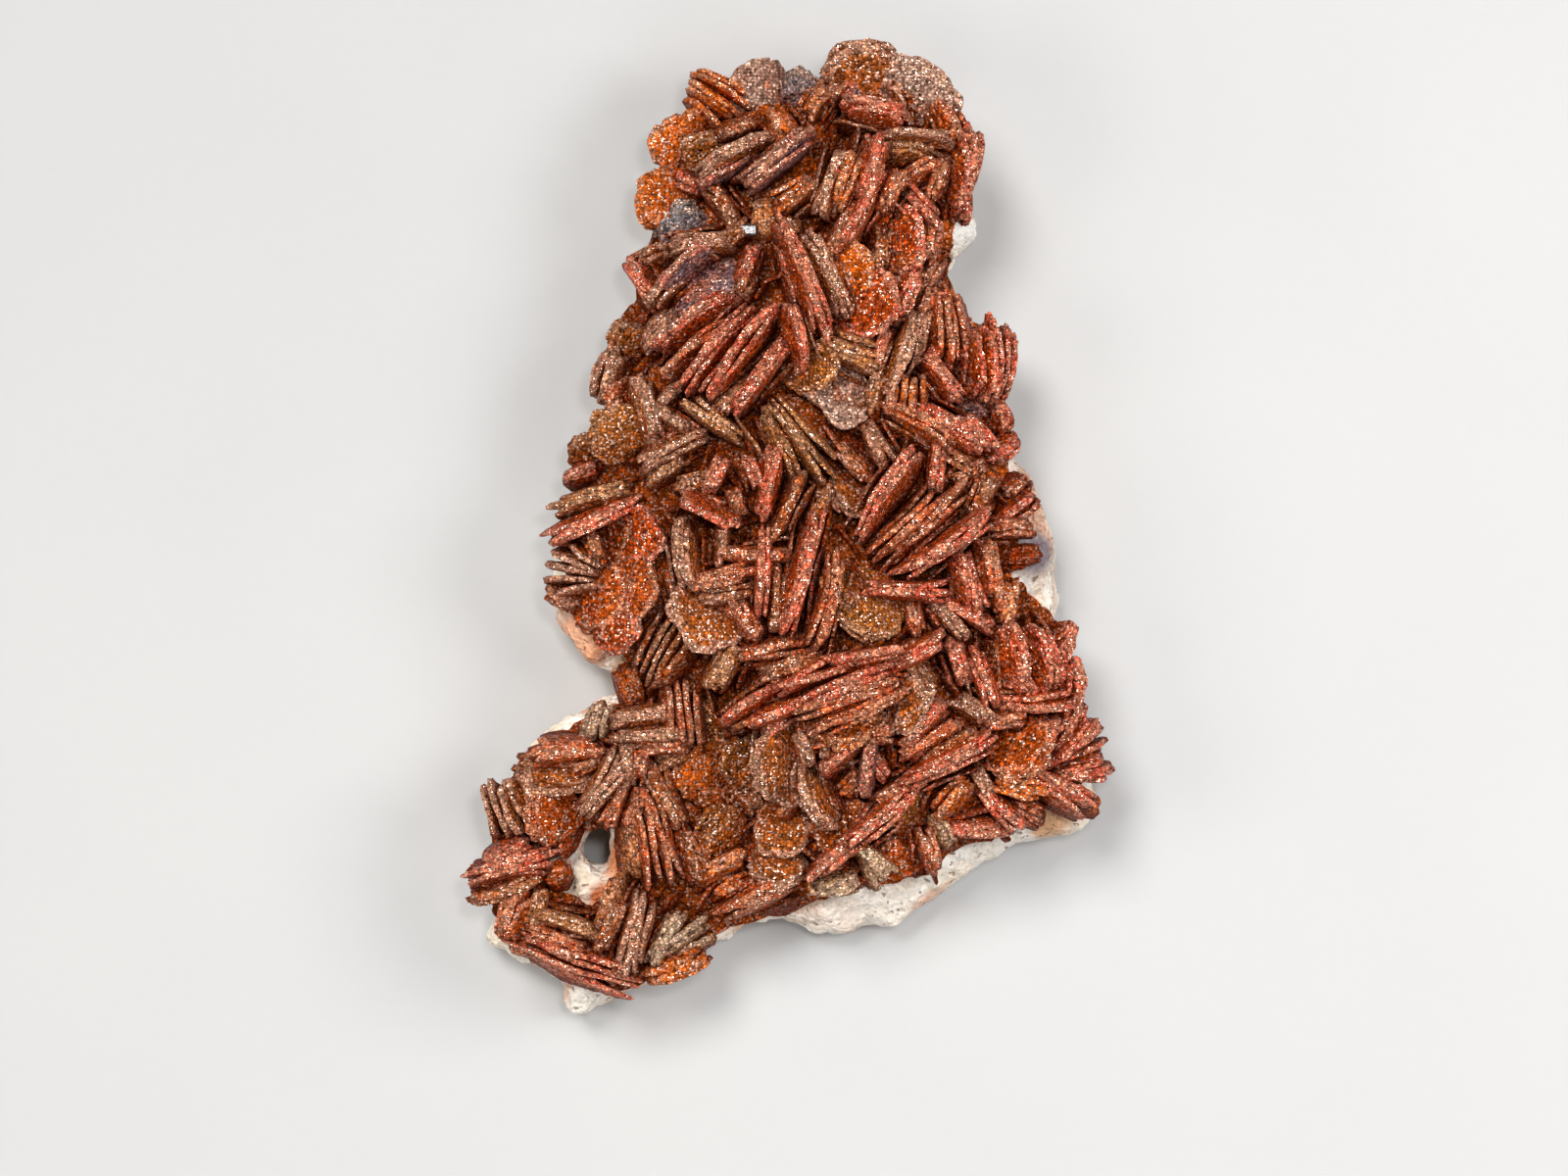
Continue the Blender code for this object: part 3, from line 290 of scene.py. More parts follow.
        (4, -32.1, -65, 8.5, 8.5, GREY, 2, -20), (4.9, -26.2, 88, 4, 5.5, BROWN),
        (7, -27.2, 36, 7, 7, RED), (9.9, -28.2, 82, 8, 8, VIOLET),
        (8.3, -30.4, 50, 4.5, 5, AMBER, 2), (11.4, -28.6, -55, 4, 6, RED),
        (11.2, -24.6, 3, 5, 5.5, RUST, 2), (17, -23.4, 50, 8.5, 8.5, RED, 1, 4),
        (17.8, -25.4, 32, 8.5, 7.5, RUST, 2), (19.2, -28.2, 24, 13.5, 10, RED, 2, 0, 2),
        (20.2, -26, 27, 9, 7.5, BROWN, 1), (11.5, -34.8, 43, 11.5, 9.5, RED, 2, -5),
        (5.8, -39.8, 35, 7, 7, RED, 2), (6.8, -36.4, 40, 7.5, 7, BROWN, 2, -46),
        (0, -36.4, 10, 7, 7.5, GREY, 1, -46), (-1, -40.8, 5, 7.5, 6.5, GREY, 2, -48),
        (10.8, -40.6, -50, 6.5, 6.5, PALE, 3, 6, 8), (14.6, -39.6, 80, 6, 6, RUST, 2, 40),
        (17.4, -38.8, -75, 6, 6.5, RUST, 2, 10), (-2.8, -44.4, 28, 12.5, 7.5, RUST, 3, -8, 2),
        (20.4, -33.2, 50, 7, 6.5, AMBER, 3, 20), (14.6, -34.4, 60, 5, 5.5, BEIGE, 2, 30),
        (14, -31.4, 30, 6.5, 6.5, RUST, 2), (6, -43, 10, 6.5, 5.5, PALE, 2, -20),
        (19, -36.2, -60, 5, 5.5, PALE, 2, 10), (0.6, -32.6, 60, 6, 6, AMBER, 2, 10),
    ],
    "skirt_right": [
        (24.4, -18.2, -70, 8, 8.5, RED, 2), (27.2, -15.4, -80, 8.5, 9, RED, 2, 24),
        (31, -15.6, -75, 8.5, 9, RED, 3, 26), (33.8, -13.4, 62, 5.5, 7, RED, 2, -24),
        (34.8, -18.4, -80, 6, 7, RED, 3, 24), (30.4, -20.8, 2, 10.5, 9, RED, 2, -4),
        (21.4, -16, -68, 6.5, 7.5, RED, 2), (22.6, -21.8, -35, 6, 7, GREY, 2, 14),
        (28.8, -26.6, 30, 9.5, 9, RUST, 2, -36), (35.2, -26.2, 38, 9, 8, RED, 3, -10, 4),
        (36.2, -28.8, 6, 8, 7, RED, 3, -8, 6), (33.2, -31.6, -28, 11.5, 8.5, RED, 3, 6, 3),
        (34.6, -23, 60, 7.5, 7, RED, 3, -14), (26.2, -33.6, -45, 8, 8, RED, 2),
        (24, -36.2, -3, 8, 6.5, RED, 2, -8), (24, -30.6, -60, 5, 6, GREY, 1),
        (29, -30.8, -10, 7, 7, AMBER, 2, -14), (29.6, -34, -30, 6, 5.5, RUST, 3),
        (31.6, -24.6, 40, 6, 7, RED, 2, -14), (26.6, -22.6, 10, 6, 6.5, RUST, 2, -10),
        (36.6, -33, -30, 5, 5, AMBER, 2, 10), (28.4, -18.6, -60, 5.5, 7, RED, 2, 20),
    ],
    "knee": [
        (-17.6, -22.6, 8, 8.5, 8, GREY, 2, 6), (-17.2, -24.8, 1, 9, 8, GREY, 2, -4),
        (-15.2, -26.2, 3, 8, 7, RUST, 1), (-12.6, -22, -82, 8.5, 7, RUST, 4, 4),
        (-22, -30.6, 53, 10, 8.5, GREY, 3, 0, 3), (-20.6, -33, 68, 6, 6.5, RUST, 2),
        (-19.2, -29, -85, 6, 7, GREY, 1), (-17.6, -28.8, 85, 4.5, 6, RUST, 2),
        (-14.8, -32.4, -65, 9, 7, BROWN, 3, 6), (-14.2, -27.9, 20, 5, 5.5, BEIGE, 2),
        (-18.4, -33.9, 70, 6, 6.5, RUST, 1), (-15.9, -37.6, -79, 13, 7.5, RUST, 4, 6, 2, 1.2),
        (-23, -23.4, 70, 5.5, 6, PALE, 3, 10), (-26.8, -26.8, 3, 9.5, 7.5, RUST, 3, 8),
        (-27.9, -29.5, 2, 9.5, 7.5, GREY, 3, -30), (-34, -34, -70, 7.5, 8.5, GREY, 4, -6, 3, 1.5),
        (-28.6, -34.4, 86, 8, 7, RUST, 3, 40), (-31.4, -32.2, -76, 6.5, 7, GREY, 2, 6),
        (-19, -18.4, -75, 5.5, 5, AMBER, 3, 10), (-24.4, -28.6, 20, 5, 5.5, BROWN, 2),
        (-18.9, -38.4, -82, 7.5, 5, PEACH, 2, 16), (-31.2, -28.8, -20, 4.5, 5, BEIGE, 2),
    ],
    "foot": [
        (-34.2, -39.2, 32, 6.5, 9, RED, 2), (-33.4, -41.4, 13, 12.5, 8.5, RED, 3, 4, 3),
        (-34.6, -43.8, 18, 9, 7, BROWN, 2, -8), (-33, -47, 72, 7, 7, RUST, 3, 20),
        (-30.6, -46.6, 75, 6, 6, BEIGE, 2), (-26.6, -48.2, -21, 9, 7, BEIGE, 2, 6),
        (-27.6, -50.2, -18, 9, 7.5, RUST, 2, 4), (-25.8, -52.9, -20, 18.5, 9, RED, 4, 2, 1, 1.15),
        (-21.4, -48.4, 68, 7.5, 6.5, BROWN, 2), (-18.2, -48.8, 75, 10.5, 7.5, GREY, 3),
        (-15.2, -50.6, 62, 7.5, 6.5, PALE, 2), (-12.6, -50, 36, 8, 6, PALE, 4, 10, 4, 1.2),
        (-13.6, -53.4, 22, 8.5, 6.5, AMBER, 3, -8), (-19.8, -53.2, 60, 6, 6, GREY, 2),
        (-31, -51.2, -10, 6, 5.5, RUST, 2, -10), (-36.6, -42.2, -10, 5, 5.5, RUST, 2, -10),
        (-21.3, -45.6, 74, 8, 5, PEACH, 1, 14), (-27.8, -42.2, 40, 3.6, 4, AMBER, 2, 20),
    ],
}

# Outlines of the ground, as the solids have them
ROCK_EDGE: Loop = [
    (7, 56.5), (12, 57), (16, 55.5), (18, 52.5), (20.5, 49), (21.8, 45), (22, 41.5), (23.7, 39.6),
    (23.9, 37.5), (21.5, 34.5), (19.2, 32), (20.2, 29.5), (21.5, 26), (24.5, 25), (26.3, 22), (25.8, 17),
    (25.8, 13), (27.5, 10), (30.8, 6), (31.9, 2.4), (33.1, -1.4), (33.3, -5.6), (34, -8.5),
    (33.5, -11.5), (34.5, -15), (34.8, -19), (36.2, -24), (37.6, -27), (37.3, -30.5), (39.4, -33.9),
    (38.2, -36.2), (34.5, -37.7), (31.4, -37.9), (28.5, -38.9), (23.7, -41.3), (21.9, -43.5),
    (18.9, -44.9), (16.5, -46.7), (13.8, -49.6), (11.2, -48.5), (8.2, -49.9), (3.5, -49.3),
    (-1.3, -47.4), (-5, -48.5), (-9, -51), (-12.5, -53), (-17, -55.6), (-22.5, -57.8), (-24.8, -59.6),
    (-26.6, -60.5), (-26.9, -56), (-30, -53.8), (-33.1, -53.2), (-37.9, -50.5), (-36, -48.8),
    (-35.2, -46), (-37.5, -43.5), (-37.5, -41.5), (-35.5, -39.5), (-34.5, -37), (-36, -33.5),
    (-34.5, -30.5), (-32.2, -29.8), (-31.8, -26.3), (-29.5, -24.3), (-25.5, -22.8), (-23, -20.3),
    (-19.9, -20.4), (-19.8, -17.8), (-22, -17.0), (-24.4, -16.4), (-25.5, -14), (-26.8, -12),
    (-28.4, -10.3), (-27.6, -6.5), (-28.8, -3), (-28.5, -0.5), (-27, 2.5), (-24.5, 5), (-23.8, 8.5),
    (-23.5, 11), (-21.8, 13.5), (-20.5, 16.5), (-21.5, 19), (-19.5, 22.5), (-19.8, 25.5), (-17, 28),
    (-17, 31), (-17.5, 33.5), (-14.8, 36), (-15.8, 39), (-15.2, 42.5), (-13.5, 46), (-11.5, 49.5),
    (-10.5, 53), (-9, 55), (-5.5, 55), (-2, 56), (2, 55.2), (5, 54),
]
HOLE: Loop = [
    (-22.2, -35.2), (-21.2, -36.6), (-21.1, -40.4), (-22.4, -42.0), (-24.6, -41.6), (-25.3, -39.6),
    (-25.0, -37.0), (-23.8, -35.2),
]
CRUST_EDGE: Loop = [
    (7, 57), (13, 57.5), (17, 55), (21.5, 48), (22.5, 44), (20.3, 38.5), (19.5, 32), (22.5, 25.8),
    (25.3, 25), (26.8, 21), (26, 16), (27, 9), (28.3, 4), (27.5, -5.5), (33, -11), (35, -19.5),
    (38, -29), (36, -31.6), (30, -32.5), (27, -36.5), (21, -38.6), (16.5, -42), (5, -44.5), (-8, -49),
    (-16, -54.8), (-22, -56.4), (-34, -50.3), (-34.8, -47.5), (-37.6, -42.3), (-36, -39), (-36.2, -34),
    (-33.5, -30.5), (-29.2, -26), (-22, -22), (-18.5, -21.3), (-17.5, -18), (-21.3, -11), (-27, -4.5),
    (-27.6, -1), (-24.8, 5), (-24.2, 9), (-21, 16.5), (-22, 19.5), (-20, 26.5), (-17.5, 28.5),
    (-17.8, 32), (-16, 35.5), (-15.5, 43.5), (-11, 52), (-9, 55.3), (-4.5, 56.3), (2, 55.8),
]
WINDOW: Loop = [
    (-29.0, -38.6), (-26.0, -36.6), (-21.5, -35.2), (-18.4, -37.5), (-17.4, -41.5), (-19.5, -45.3),
    (-24.0, -46.3), (-28.2, -44.6), (-29.6, -41.5),
]

# Lumps and dips: x, y, height, radius
ROCK_RELIEF = [
    (-25.0, -12.5, 3.2, 3.6), (-8.0, -32.0, -5.5, 6.5), (12.0, -45.0, -2.0, 6.0),
    (-2.0, -4.0, 2.5, 14.0), (-23.0, -41.0, -1.5, 5.0), (30.0, -2.0, 1.5, 3.0), (8.0, -17.0, 2.0, 8.0),
    (10.0, 44.0, 2.5, 9.0),
]
CRUST_RELIEF = [
    (0.7, 38.8, -1.6, 2.6), (12.0, 35.0, -1.2, 2.5), (-10.0, 8.0, -1.6, 2.5), (5.0, 13.5, -1.6, 2.6),
    (1.0, -13.5, -1.2, 3.0), (8.5, -30.5, -1.5, 3.0), (-16.0, -9.0, -1.4, 3.0), (-8.0, -33.0, -1.2, 5.0),
]

# The ground that each cluster covers; its corners lie along the valleys to its neighbours
CELLS: dict[str, Loop] = {
    "crown_left": [
        (5, 49), (-1.5, 42.3), (-11, 40.6), (-35, 39), (-35, 75), (5, 75),
    ],
    "crown_right": [
        (5, 75), (5, 49), (9, 48.6), (13, 46), (14, 42.4), (19, 40.8), (21, 38.8), (45, 38.5), (45, 75),
    ],
    "neck_left": [
        (-1.5, 42.3), (-3, 36), (-2.5, 29.5), (-8, 29), (-13.5, 26.6), (-35, 28), (-35, 39), (-11, 40.6),
    ],
    "neck_right": [
        (5, 49), (9, 48.6), (13, 46), (14, 42.4), (19, 40.8), (21, 38.8), (45, 38.5), (45, 29.5),
        (18.5, 28.2), (13, 25.4), (6, 25.2), (3.8, 22), (0.4, 28.8), (-2.5, 29.5), (-3, 36),
        (-1.5, 42.3),
    ],
    "shoulder_left": [
        (-2.5, 29.5), (0.4, 28.8), (3.8, 22), (3, 18.6), (0, 17.2), (-3.5, 11.8), (-8.5, 10.2),
        (-15.2, 6.6), (-21, 8.2), (-24, 7.6), (-45, 8), (-35, 28), (-13.5, 26.6), (-8, 29),
    ],
    "shoulder_right": [
        (3.8, 22), (6, 25.2), (13, 25.4), (18.5, 28.2), (45, 29.5), (45, 8.5), (23, 7.8), (18, 10),
        (13.8, 11.8), (8, 12.8), (3, 18.6),
    ],
    "heart": [
        (3, 18.6), (8, 12.8), (13.8, 11.8), (10.5, 6.5), (6.8, -0.5), (3.2, 3.9), (0.5, 1.4), (-4, 0.2),
        (-9, 0.4), (-14.3, 0), (-15.2, 6.6), (-8.5, 10.2), (-3.5, 11.8), (0, 17.2),
    ],
    "waist": [
        (-14.3, 0), (-9, 0.4), (-4, 0.2), (0.5, 1.4), (3.2, 3.9), (6.8, -0.5), (7.2, -6), (6.6, -11),
        (8.5, -13), (3, -15.4), (-2, -17.8), (-8.5, -21), (-10.8, -18.7), (-16, -19.2), (-18, -15.5),
        (-17.2, -11), (-14.8, -6),
    ],
    "flank_left": [
        (-15.2, 6.6), (-14.3, 0), (-14.8, -6), (-17.2, -11), (-18, -15.5), (-45, -18.5), (-45, 8),
        (-24, 7.6), (-21, 8.2),
    ],
    "flank_right": [
        (13.8, 11.8), (18, 10), (23, 7.8), (45, 8.5), (50, -9), (30, -11), (23, -12.6), (19.4, -12.3),
        (14, -12), (8.5, -13), (6.6, -11), (7.2, -6), (6.8, -0.5), (10.5, 6.5),
    ],
    "belly": [
        (8.5, -13), (14, -12), (19.4, -12.3), (20.8, -17), (19.5, -20.3), (16.6, -21.6), (14.2, -25),
        (11, -25), (8, -24.8), (3, -24.4), (-3, -24.6), (-8.5, -21), (-2, -17.8), (3, -15.4),
    ],
    "hollow": [
        (-8.5, -21), (-3, -24.6), (-4, -30), (-4, -36), (-4.6, -42.5), (-9, -47.5), (-12.8, -44),
        (-12, -34), (-11, -27), (-10.8, -18.7),
    ],
    "skirt_middle": [
        (19.5, -20.3), (24, -23.6), (25.6, -27.5), (22.6, -31.5), (20.5, -36.5), (21, -65), (-8, -65),
        (-9, -47.5), (-4.6, -42.5), (-4, -36), (-4, -30), (-3, -24.6), (3, -24.4), (8, -24.8), (11, -25),
        (14.2, -25), (16.6, -21.6),
    ],
    "skirt_right": [
        (19.4, -12.3), (23, -12.6), (30, -11), (50, -9), (50, -65), (21, -65), (20.5, -36.5),
        (22.6, -31.5), (25.6, -27.5), (24, -23.6), (19.5, -20.3), (20.8, -17),
    ],
    "knee": [
        (-18, -15.5), (-16, -19.2), (-10.8, -18.7), (-11, -27), (-12, -34), (-12.8, -44), (-18, -44.5),
        (-24, -38.7), (-30, -38), (-34, -36.8), (-45, -39.5), (-45, -18.5),
    ],
    "foot": [
        (-12.8, -44), (-9, -47.5), (-8, -65), (-45, -65), (-45, -39.5), (-34, -36.8), (-30, -38),
        (-24, -38.7), (-18, -44.5),
    ],
}


def is_inside(x: float, y: float, loop: Loop) -> bool:
    """Whether a point lies inside a loop, by counting the sides that a ray to +X crosses."""
    crossings = 0
    for (ax, ay), (bx, by) in zip(loop, loop[1:] + loop[:1]):
        if (ay > y) != (by > y) and x < ax + (y - ay) * (bx - ax) / (by - ay):
            crossings += 1
    return crossings % 2 == 1


def nearest_on(x: float, y: float, loop: Loop) -> tuple[float, Point]:
    """Distance from a point to the nearest side of a loop, and the place on that side."""
    best = (1e9, (x, y))
    for (ax, ay), (bx, by) in zip(loop, loop[1:] + loop[:1]):
        dx, dy = bx - ax, by - ay
        share = min(max(((x - ax) * dx + (y - ay) * dy) / (dx * dx + dy * dy), 0), 1)
        px, py = ax + dx * share, ay + dy * share
        best = min(best, (math.hypot(x - px, y - py), (px, py)))
    return best


def relief(x: float, y: float, bumps: Sequence[Sequence[float]]) -> float:
    """Sum of round bumps and dips, each given as x, y, height, radius."""
    return sum(h * math.exp(-((x - bx) ** 2 + (y - by) ** 2) / (2 * r * r)) for bx, by, h, r in bumps)


@dataclass(frozen=True)
class Terrain:
    """The shape of the ground in mm over the flat back, the same as the solids have.

    Attributes:
        edge_height: Height of the rock's upper rim.
        dome_rise: How far the middle rises over the rim.
        dome_spread: Distance over which it rises.
        lump_size: Size of the lumps.
        lump_height: Height of the lumps.
        crust: Thickness of the blades' footing.
        crust_swell: Change of that thickness.
        crust_least: Its thickness in the dips.
    """

    edge_height: float = 7.0
    dome_rise: float = 9.5
    dome_spread: float = 10.0
    lump_size: float = 9.0
    lump_height: float = 1.3
    crust: float = 2.6
    crust_swell: float = 0.9
    crust_least: float = 1.2

    def rock(self, x: float, y: float) -> float:
        """Height of the rock's upper face."""
        depth = nearest_on(x, y, ROCK_EDGE)[0] if is_inside(x, y, ROCK_EDGE) else 0
        dome = self.dome_rise * (1 - math.exp(-depth / self.dome_spread))
        lumps = self.lump_height * wave(x, y, 3, self.lump_size)
        return self.edge_height + dome + lumps + relief(x, y, ROCK_RELIEF)

    def top(self, x: float, y: float) -> float:
        """Height of the blades' footing."""
        thick = self.crust + self.crust_swell * wave(x, y, 40, self.lump_size)
        return self.rock(x, y) + max(thick + relief(x, y, CRUST_RELIEF), self.crust_least)


class Wire:
    """A node's output that takes part in Python expressions, which add the Math nodes."""

    def __init__(self, graph: "NodeGraph", socket: bpy.types.NodeSocket) -> None:
        """Keep the output and the graph that new nodes go into."""
        self.graph = graph
        self.socket = socket

    def _maths(self, operation: str, *values: Any) -> "Wire":
        """Add a Math node."""
        return self.graph.add("ShaderNodeMath", {"operation": operation}, dict(enumerate(values)))

    def __add__(self, other: Any) -> "Wire":
        """The sum."""
        return self._maths("ADD", self, other)

    def __sub__(self, other: Any) -> "Wire":
        """The difference."""
        return self._maths("SUBTRACT", self, other)

    def __rsub__(self, other: Any) -> "Wire":
        """The difference from a number."""
        return self._maths("SUBTRACT", other, self)

    def __mul__(self, other: Any) -> "Wire":
        """The product."""
        return self._maths("MULTIPLY", self, other)

    def __pow__(self, other: Any) -> "Wire":
        """The power."""
        return self._maths("POWER", self, other)

    def rise(self, low: float, high: float, start: float = 0.0, end: float = 1.0) -> "Wire":
        """Smooth step from start at low to end at high."""
        return self.graph.add(
            "ShaderNodeMapRange", {"interpolation_type": "SMOOTHSTEP"},
            {"Value": self, "From Min": low, "From Max": high, "To Min": start, "To Max": end})


class NodeGraph:
    """One material's nodes."""

    def __init__(self, name: str) -> None:
        """Start an empty material."""
        self.material = bpy.data.materials.new(name)
        self.material.use_nodes = True
        self.tree = self.material.node_tree
        self.tree.nodes.clear()
        self.place = self.add("ShaderNodeTexCoord", out="Object")

    def add(self, kind: str, settings: dict[str, Any] | None = None,
            sockets: dict[Any, Any] | None = None, out: Any = 0) -> Wire:
        """Add a node.

        Args:
            kind: The node's type.
            settings: Its settings, which are made first.
            sockets: Values or wires for its inputs, by name or number.
            out: The output that is wanted, by name or number.

        Returns:
            The wanted output.
        """
        node = self.tree.nodes.new(kind)
        for key, value in (settings or {}).items():
            setattr(node, key, value)
        for key, value in (sockets or {}).items():
            if isinstance(value, Wire):
                self.tree.links.new(value.socket, node.inputs[key])
            else:
                node.inputs[key].default_value = value
        return Wire(self, node.outputs[out])

    def mix(self, share: Any, first: Any, second: Any, way: str = "MIX") -> Wire:
        """Mix two colours by a share."""
        colours = [(*c, 1.0) if isinstance(c, tuple) else c for c in (first, second)]
        settings = {"data_type": "RGBA", "blend_type": way, "clamp_result": False}
        return self.add("ShaderNodeMix", settings, {0: share, 6: colours[0], 7: colours[1]}, 2)

    def noise(self, size: float, detail: float = 3.0, skew: float = 0.0) -> Wire:
        """Noise whose features are about size mm wide."""
        return self.add("ShaderNodeTexNoise", {"noise_dimensions": "3D"}, {
            "Vector": self.place, "Scale": 1 / (size * MM), "Detail": detail, "Roughness": 0.55,
            "Distortion": skew})

    def grains(self, size: float, out: str = "Distance") -> Wire:
        """Random cells about size mm wide: the distance from their middle, or their colour."""
        return self.add("ShaderNodeTexVoronoi", {"voronoi_dimensions": "3D"}, {
            "Vector": self.place, "Scale": 1 / (size * MM), "Randomness": 1.0}, out)

    def attribute(self, name: str, out: str = "Color") -> Wire:
        """A colour that the mesh carries."""
        return self.add("ShaderNodeAttribute", {"attribute_name": name}, out=out)

    def tilted(self, colour: Wire, reach: float) -> Wire:
        """The surface's normal, turned to a random side in each grain by up to reach."""
        facing = self.add("ShaderNodeNewGeometry", out="Normal")
        about = self.vector("SUBTRACT", {0: colour, 1: (0.5,) * 3})
        total = self.vector("ADD", {0: facing, 1: self.scaled(about, 2 * reach)})
        return self.vector("NORMALIZE", {0: total})

    def bump(self, height: Wire, depth: float, normal: Wire | None = None,
             strength: float = 1.0) -> Wire:
        """The normal of a rough surface whose relief is depth mm high."""
        sockets: dict[str, Any] = {"Height": height, "Distance": depth * MM, "Strength": strength}
        if normal:
            sockets["Normal"] = normal
        return self.add("ShaderNodeBump", None, sockets)

    def finish(self, base: Any, roughness: Any, normal: Wire, **constants: Any) -> bpy.types.Material:
        """Close the tree with a Principled shader."""
        sockets = {"Base Color": base, "Roughness": roughness, "Normal": normal, **constants}
        shader = self.add("ShaderNodeBsdfPrincipled", None, sockets)
        output = self.tree.nodes.new("ShaderNodeOutputMaterial")
        self.tree.links.new(shader.socket, output.inputs["Surface"])
        return self.material

    def channel(self, colour: Wire, name: str) -> Wire:
        """One of a colour's three numbers."""
        return self.add("ShaderNodeSeparateColor", None, {0: colour}, name)

    def vector(self, operation: str, sockets: dict[Any, Any]) -> Wire:
        """A sum or another step with vectors."""
        return self.add("ShaderNodeVectorMath", {"operation": operation}, sockets)

    def scaled(self, colour: Wire, factor: Any) -> Wire:
        """A colour made lighter or darker."""
        return self.vector("SCALE", {0: colour, "Scale": factor})


@dataclass(frozen=True)
class DruseFinish:
    """The sparkling skin of grains on the blades and on the crust between them.

    Attributes:
        grain: Width of a grain, in mm.
        spark: Width of a mirror-bright facet, in mm.
        tilt: How far a grain's face turns from the surface under it.
        relief: Height of a grain, in mm.
        gloss: Roughness of a grain that shines.
        dull: Roughness of the others.
        foot_shade: Colour of the painted shade at the foot of the blades and on the crust between them.
        glint: Colour of the grains that mirror the lights.
        amber: Colour of the glassy stains on the faces.
        frost: Colour of the grey bloom.
        tint: Colour of the mirrored light on the grains that don't glint.
    """

    grain: float = 0.4
    spark: float = 0.26
    tilt: float = 0.65
    relief: float = 0.2
    gloss: float = 0.16
    dull: float = 0.66
    foot_shade: Colour = srgb(100, 26, 0)
    glint: Colour = srgb(250, 208, 188)
    amber: Colour = srgb(188, 92, 28)
    frost: Colour = srgb(170, 132, 102)
    tint: Colour = (1.0, 0.42, 0.2)

    def material(self) -> bpy.types.Material:
        """Build the material."""
        g = NodeGraph("vanadinite_druse")
        cells = g.grains(self.grain, out="Color")
        first, second = (g.channel(cells, name) for name in ("Red", "Green"))
        stain = g.noise(3.0, 3.0)
        mottle = g.noise(0.8, 2.0)
        # The edge attribute's alpha is the share of painted shade at the foot of the blades and on the
        # crust
        near_rim, foot = g.attribute("coat", "Alpha"), g.attribute("edge", "Alpha")
        rim = (near_rim + (stain - 0.5) * 1.3 + (mottle - 0.5) * 0.7).rise(0.4, 0.8)
        face = g.mix(stain.rise(0.5, 0.68) * 0.5, g.attribute("coat"), self.amber)
        base = g.mix(rim, face, g.attribute("edge"))
        frost = (g.noise(2.2, 4.0, skew=0.6) + near_rim * 0.12).rise(0.54, 0.64)
        base = g.mix(frost * (near_rim * 0.46 + 0.03), base, self.frost)
        # Painted shade: darker towards the blades' feet and over the crust between them
        base = g.mix(foot, base, self.foot_shade)
        hump_and_crevice_shade = 1 - g.grains(self.grain)
        # Grains get their own random lightness, and each is painted darker towards its edge: painted
        # shade in the crevices between grains
        base = g.scaled(base, (first ** 3 * 1.7 + mottle * 0.8 + 0.26) * (hump_and_crevice_shade * 1.5 + 0.14))
        sparks = g.channel(g.grains(self.spark, out="Color"), "Blue")
        # No grain mirrors in the painted shade at the foot
        mirror = (sparks + rim * 0.05).rise(0.8, 0.84) * (1 - foot)
        base = g.mix(mirror * 0.9, base, self.glint)
        roughness = g.add("ShaderNodeMath", {"operation": "MINIMUM"}, {
            0: second.rise(0.6, 0.8, self.dull, 0.34), 1: 1 - mirror * (1 - self.gloss)})
        normal = g.tilted(cells, self.tilt)
        normal = g.bump(hump_and_crevice_shade, self.relief, normal)
        normal = g.bump(g.noise(0.9, 3.0), 0.35, normal, 0.7)
        return g.finish(base, roughness, normal, **{
            "Metallic": mirror, "IOR": 1.36, "Specular Tint": (*self.tint, 1.0)})


@dataclass(frozen=True)
class RockFinish:
    """The pale host rock, with peach and rusty stains.

    Attributes:
        pale: Its main colour.
        chalk: Colour of the whitest spots.
        peach: Colour of the soft stains.
        rust: Colour of the sharp stains.
        speck: Colour of the small dark specks.
        grit: Width of its grains, in mm.
    """

    pale: Colour = srgb(234, 218, 198)
    chalk: Colour = srgb(248, 244, 236)
    peach: Colour = srgb(214, 150, 104)
    rust: Colour = srgb(168, 88, 44)
    speck: Colour = srgb(104, 66, 46)
    grit: float = 0.7

    def material(self) -> bpy.types.Material:
        """Build the material."""
        g = NodeGraph("pale_rock")
        cells = g.grains(self.grit, out="Color")
        broad, medium, fine = g.noise(9.0, 4.0, skew=0.4), g.noise(2.6, 4.0), g.noise(0.5, 3.0)
        base = g.mix(medium.rise(0.42, 0.62), self.pale, self.chalk)
        base = g.mix(broad.rise(0.46, 0.62) * 0.75, base, self.peach)
        veins = (g.noise(1.6, 5.0, skew=1.2) * 0.6 + broad * 0.4).rise(0.54, 0.62)
        base = g.mix(veins * 0.75, base, self.rust)
        base = g.mix(g.attribute("tint", "Alpha") * (medium * 0.8 + 0.6), base, g.attribute("tint"))
        base = g.mix(g.noise(1.1, 2.0).rise(0.64, 0.68) * 0.75, base, self.speck)
        base = g.scaled(base, g.channel(cells, "Red") * 0.2 + fine * 0.3 + 0.74)
        roughness = g.channel(cells, "Green").rise(0.6, 0.9, 0.72, 0.34)
        normal = g.tilted(cells, 0.16)
        normal = g.bump(1 - g.grains(self.grit), 0.22, normal)
        normal = g.bump(medium * 0.7 + fine * 0.3, 0.8, normal, 0.9)
        return g.finish(base, roughness, normal, IOR=1.6)


@dataclass(frozen=True)
class MetalFinish:
    """The bright crystal's metal: its colour, and the colour of its dull spots."""

    colour: Colour = srgb(158, 158, 160)
    dull: Colour = srgb(120, 108, 96)

    def material(self) -> bpy.types.Material:
        """Build the material."""
        g = NodeGraph("bright_metal")
        wear = g.noise(0.5, 4.0)
        base = g.mix(wear.rise(0.4, 0.7) * 0.5, self.colour, self.dull)
        normal = g.bump(g.noise(0.25, 3.0), 0.08)
        return g.finish(base, wear.rise(0.3, 0.7, 0.3, 0.5), normal, Metallic=1.0)


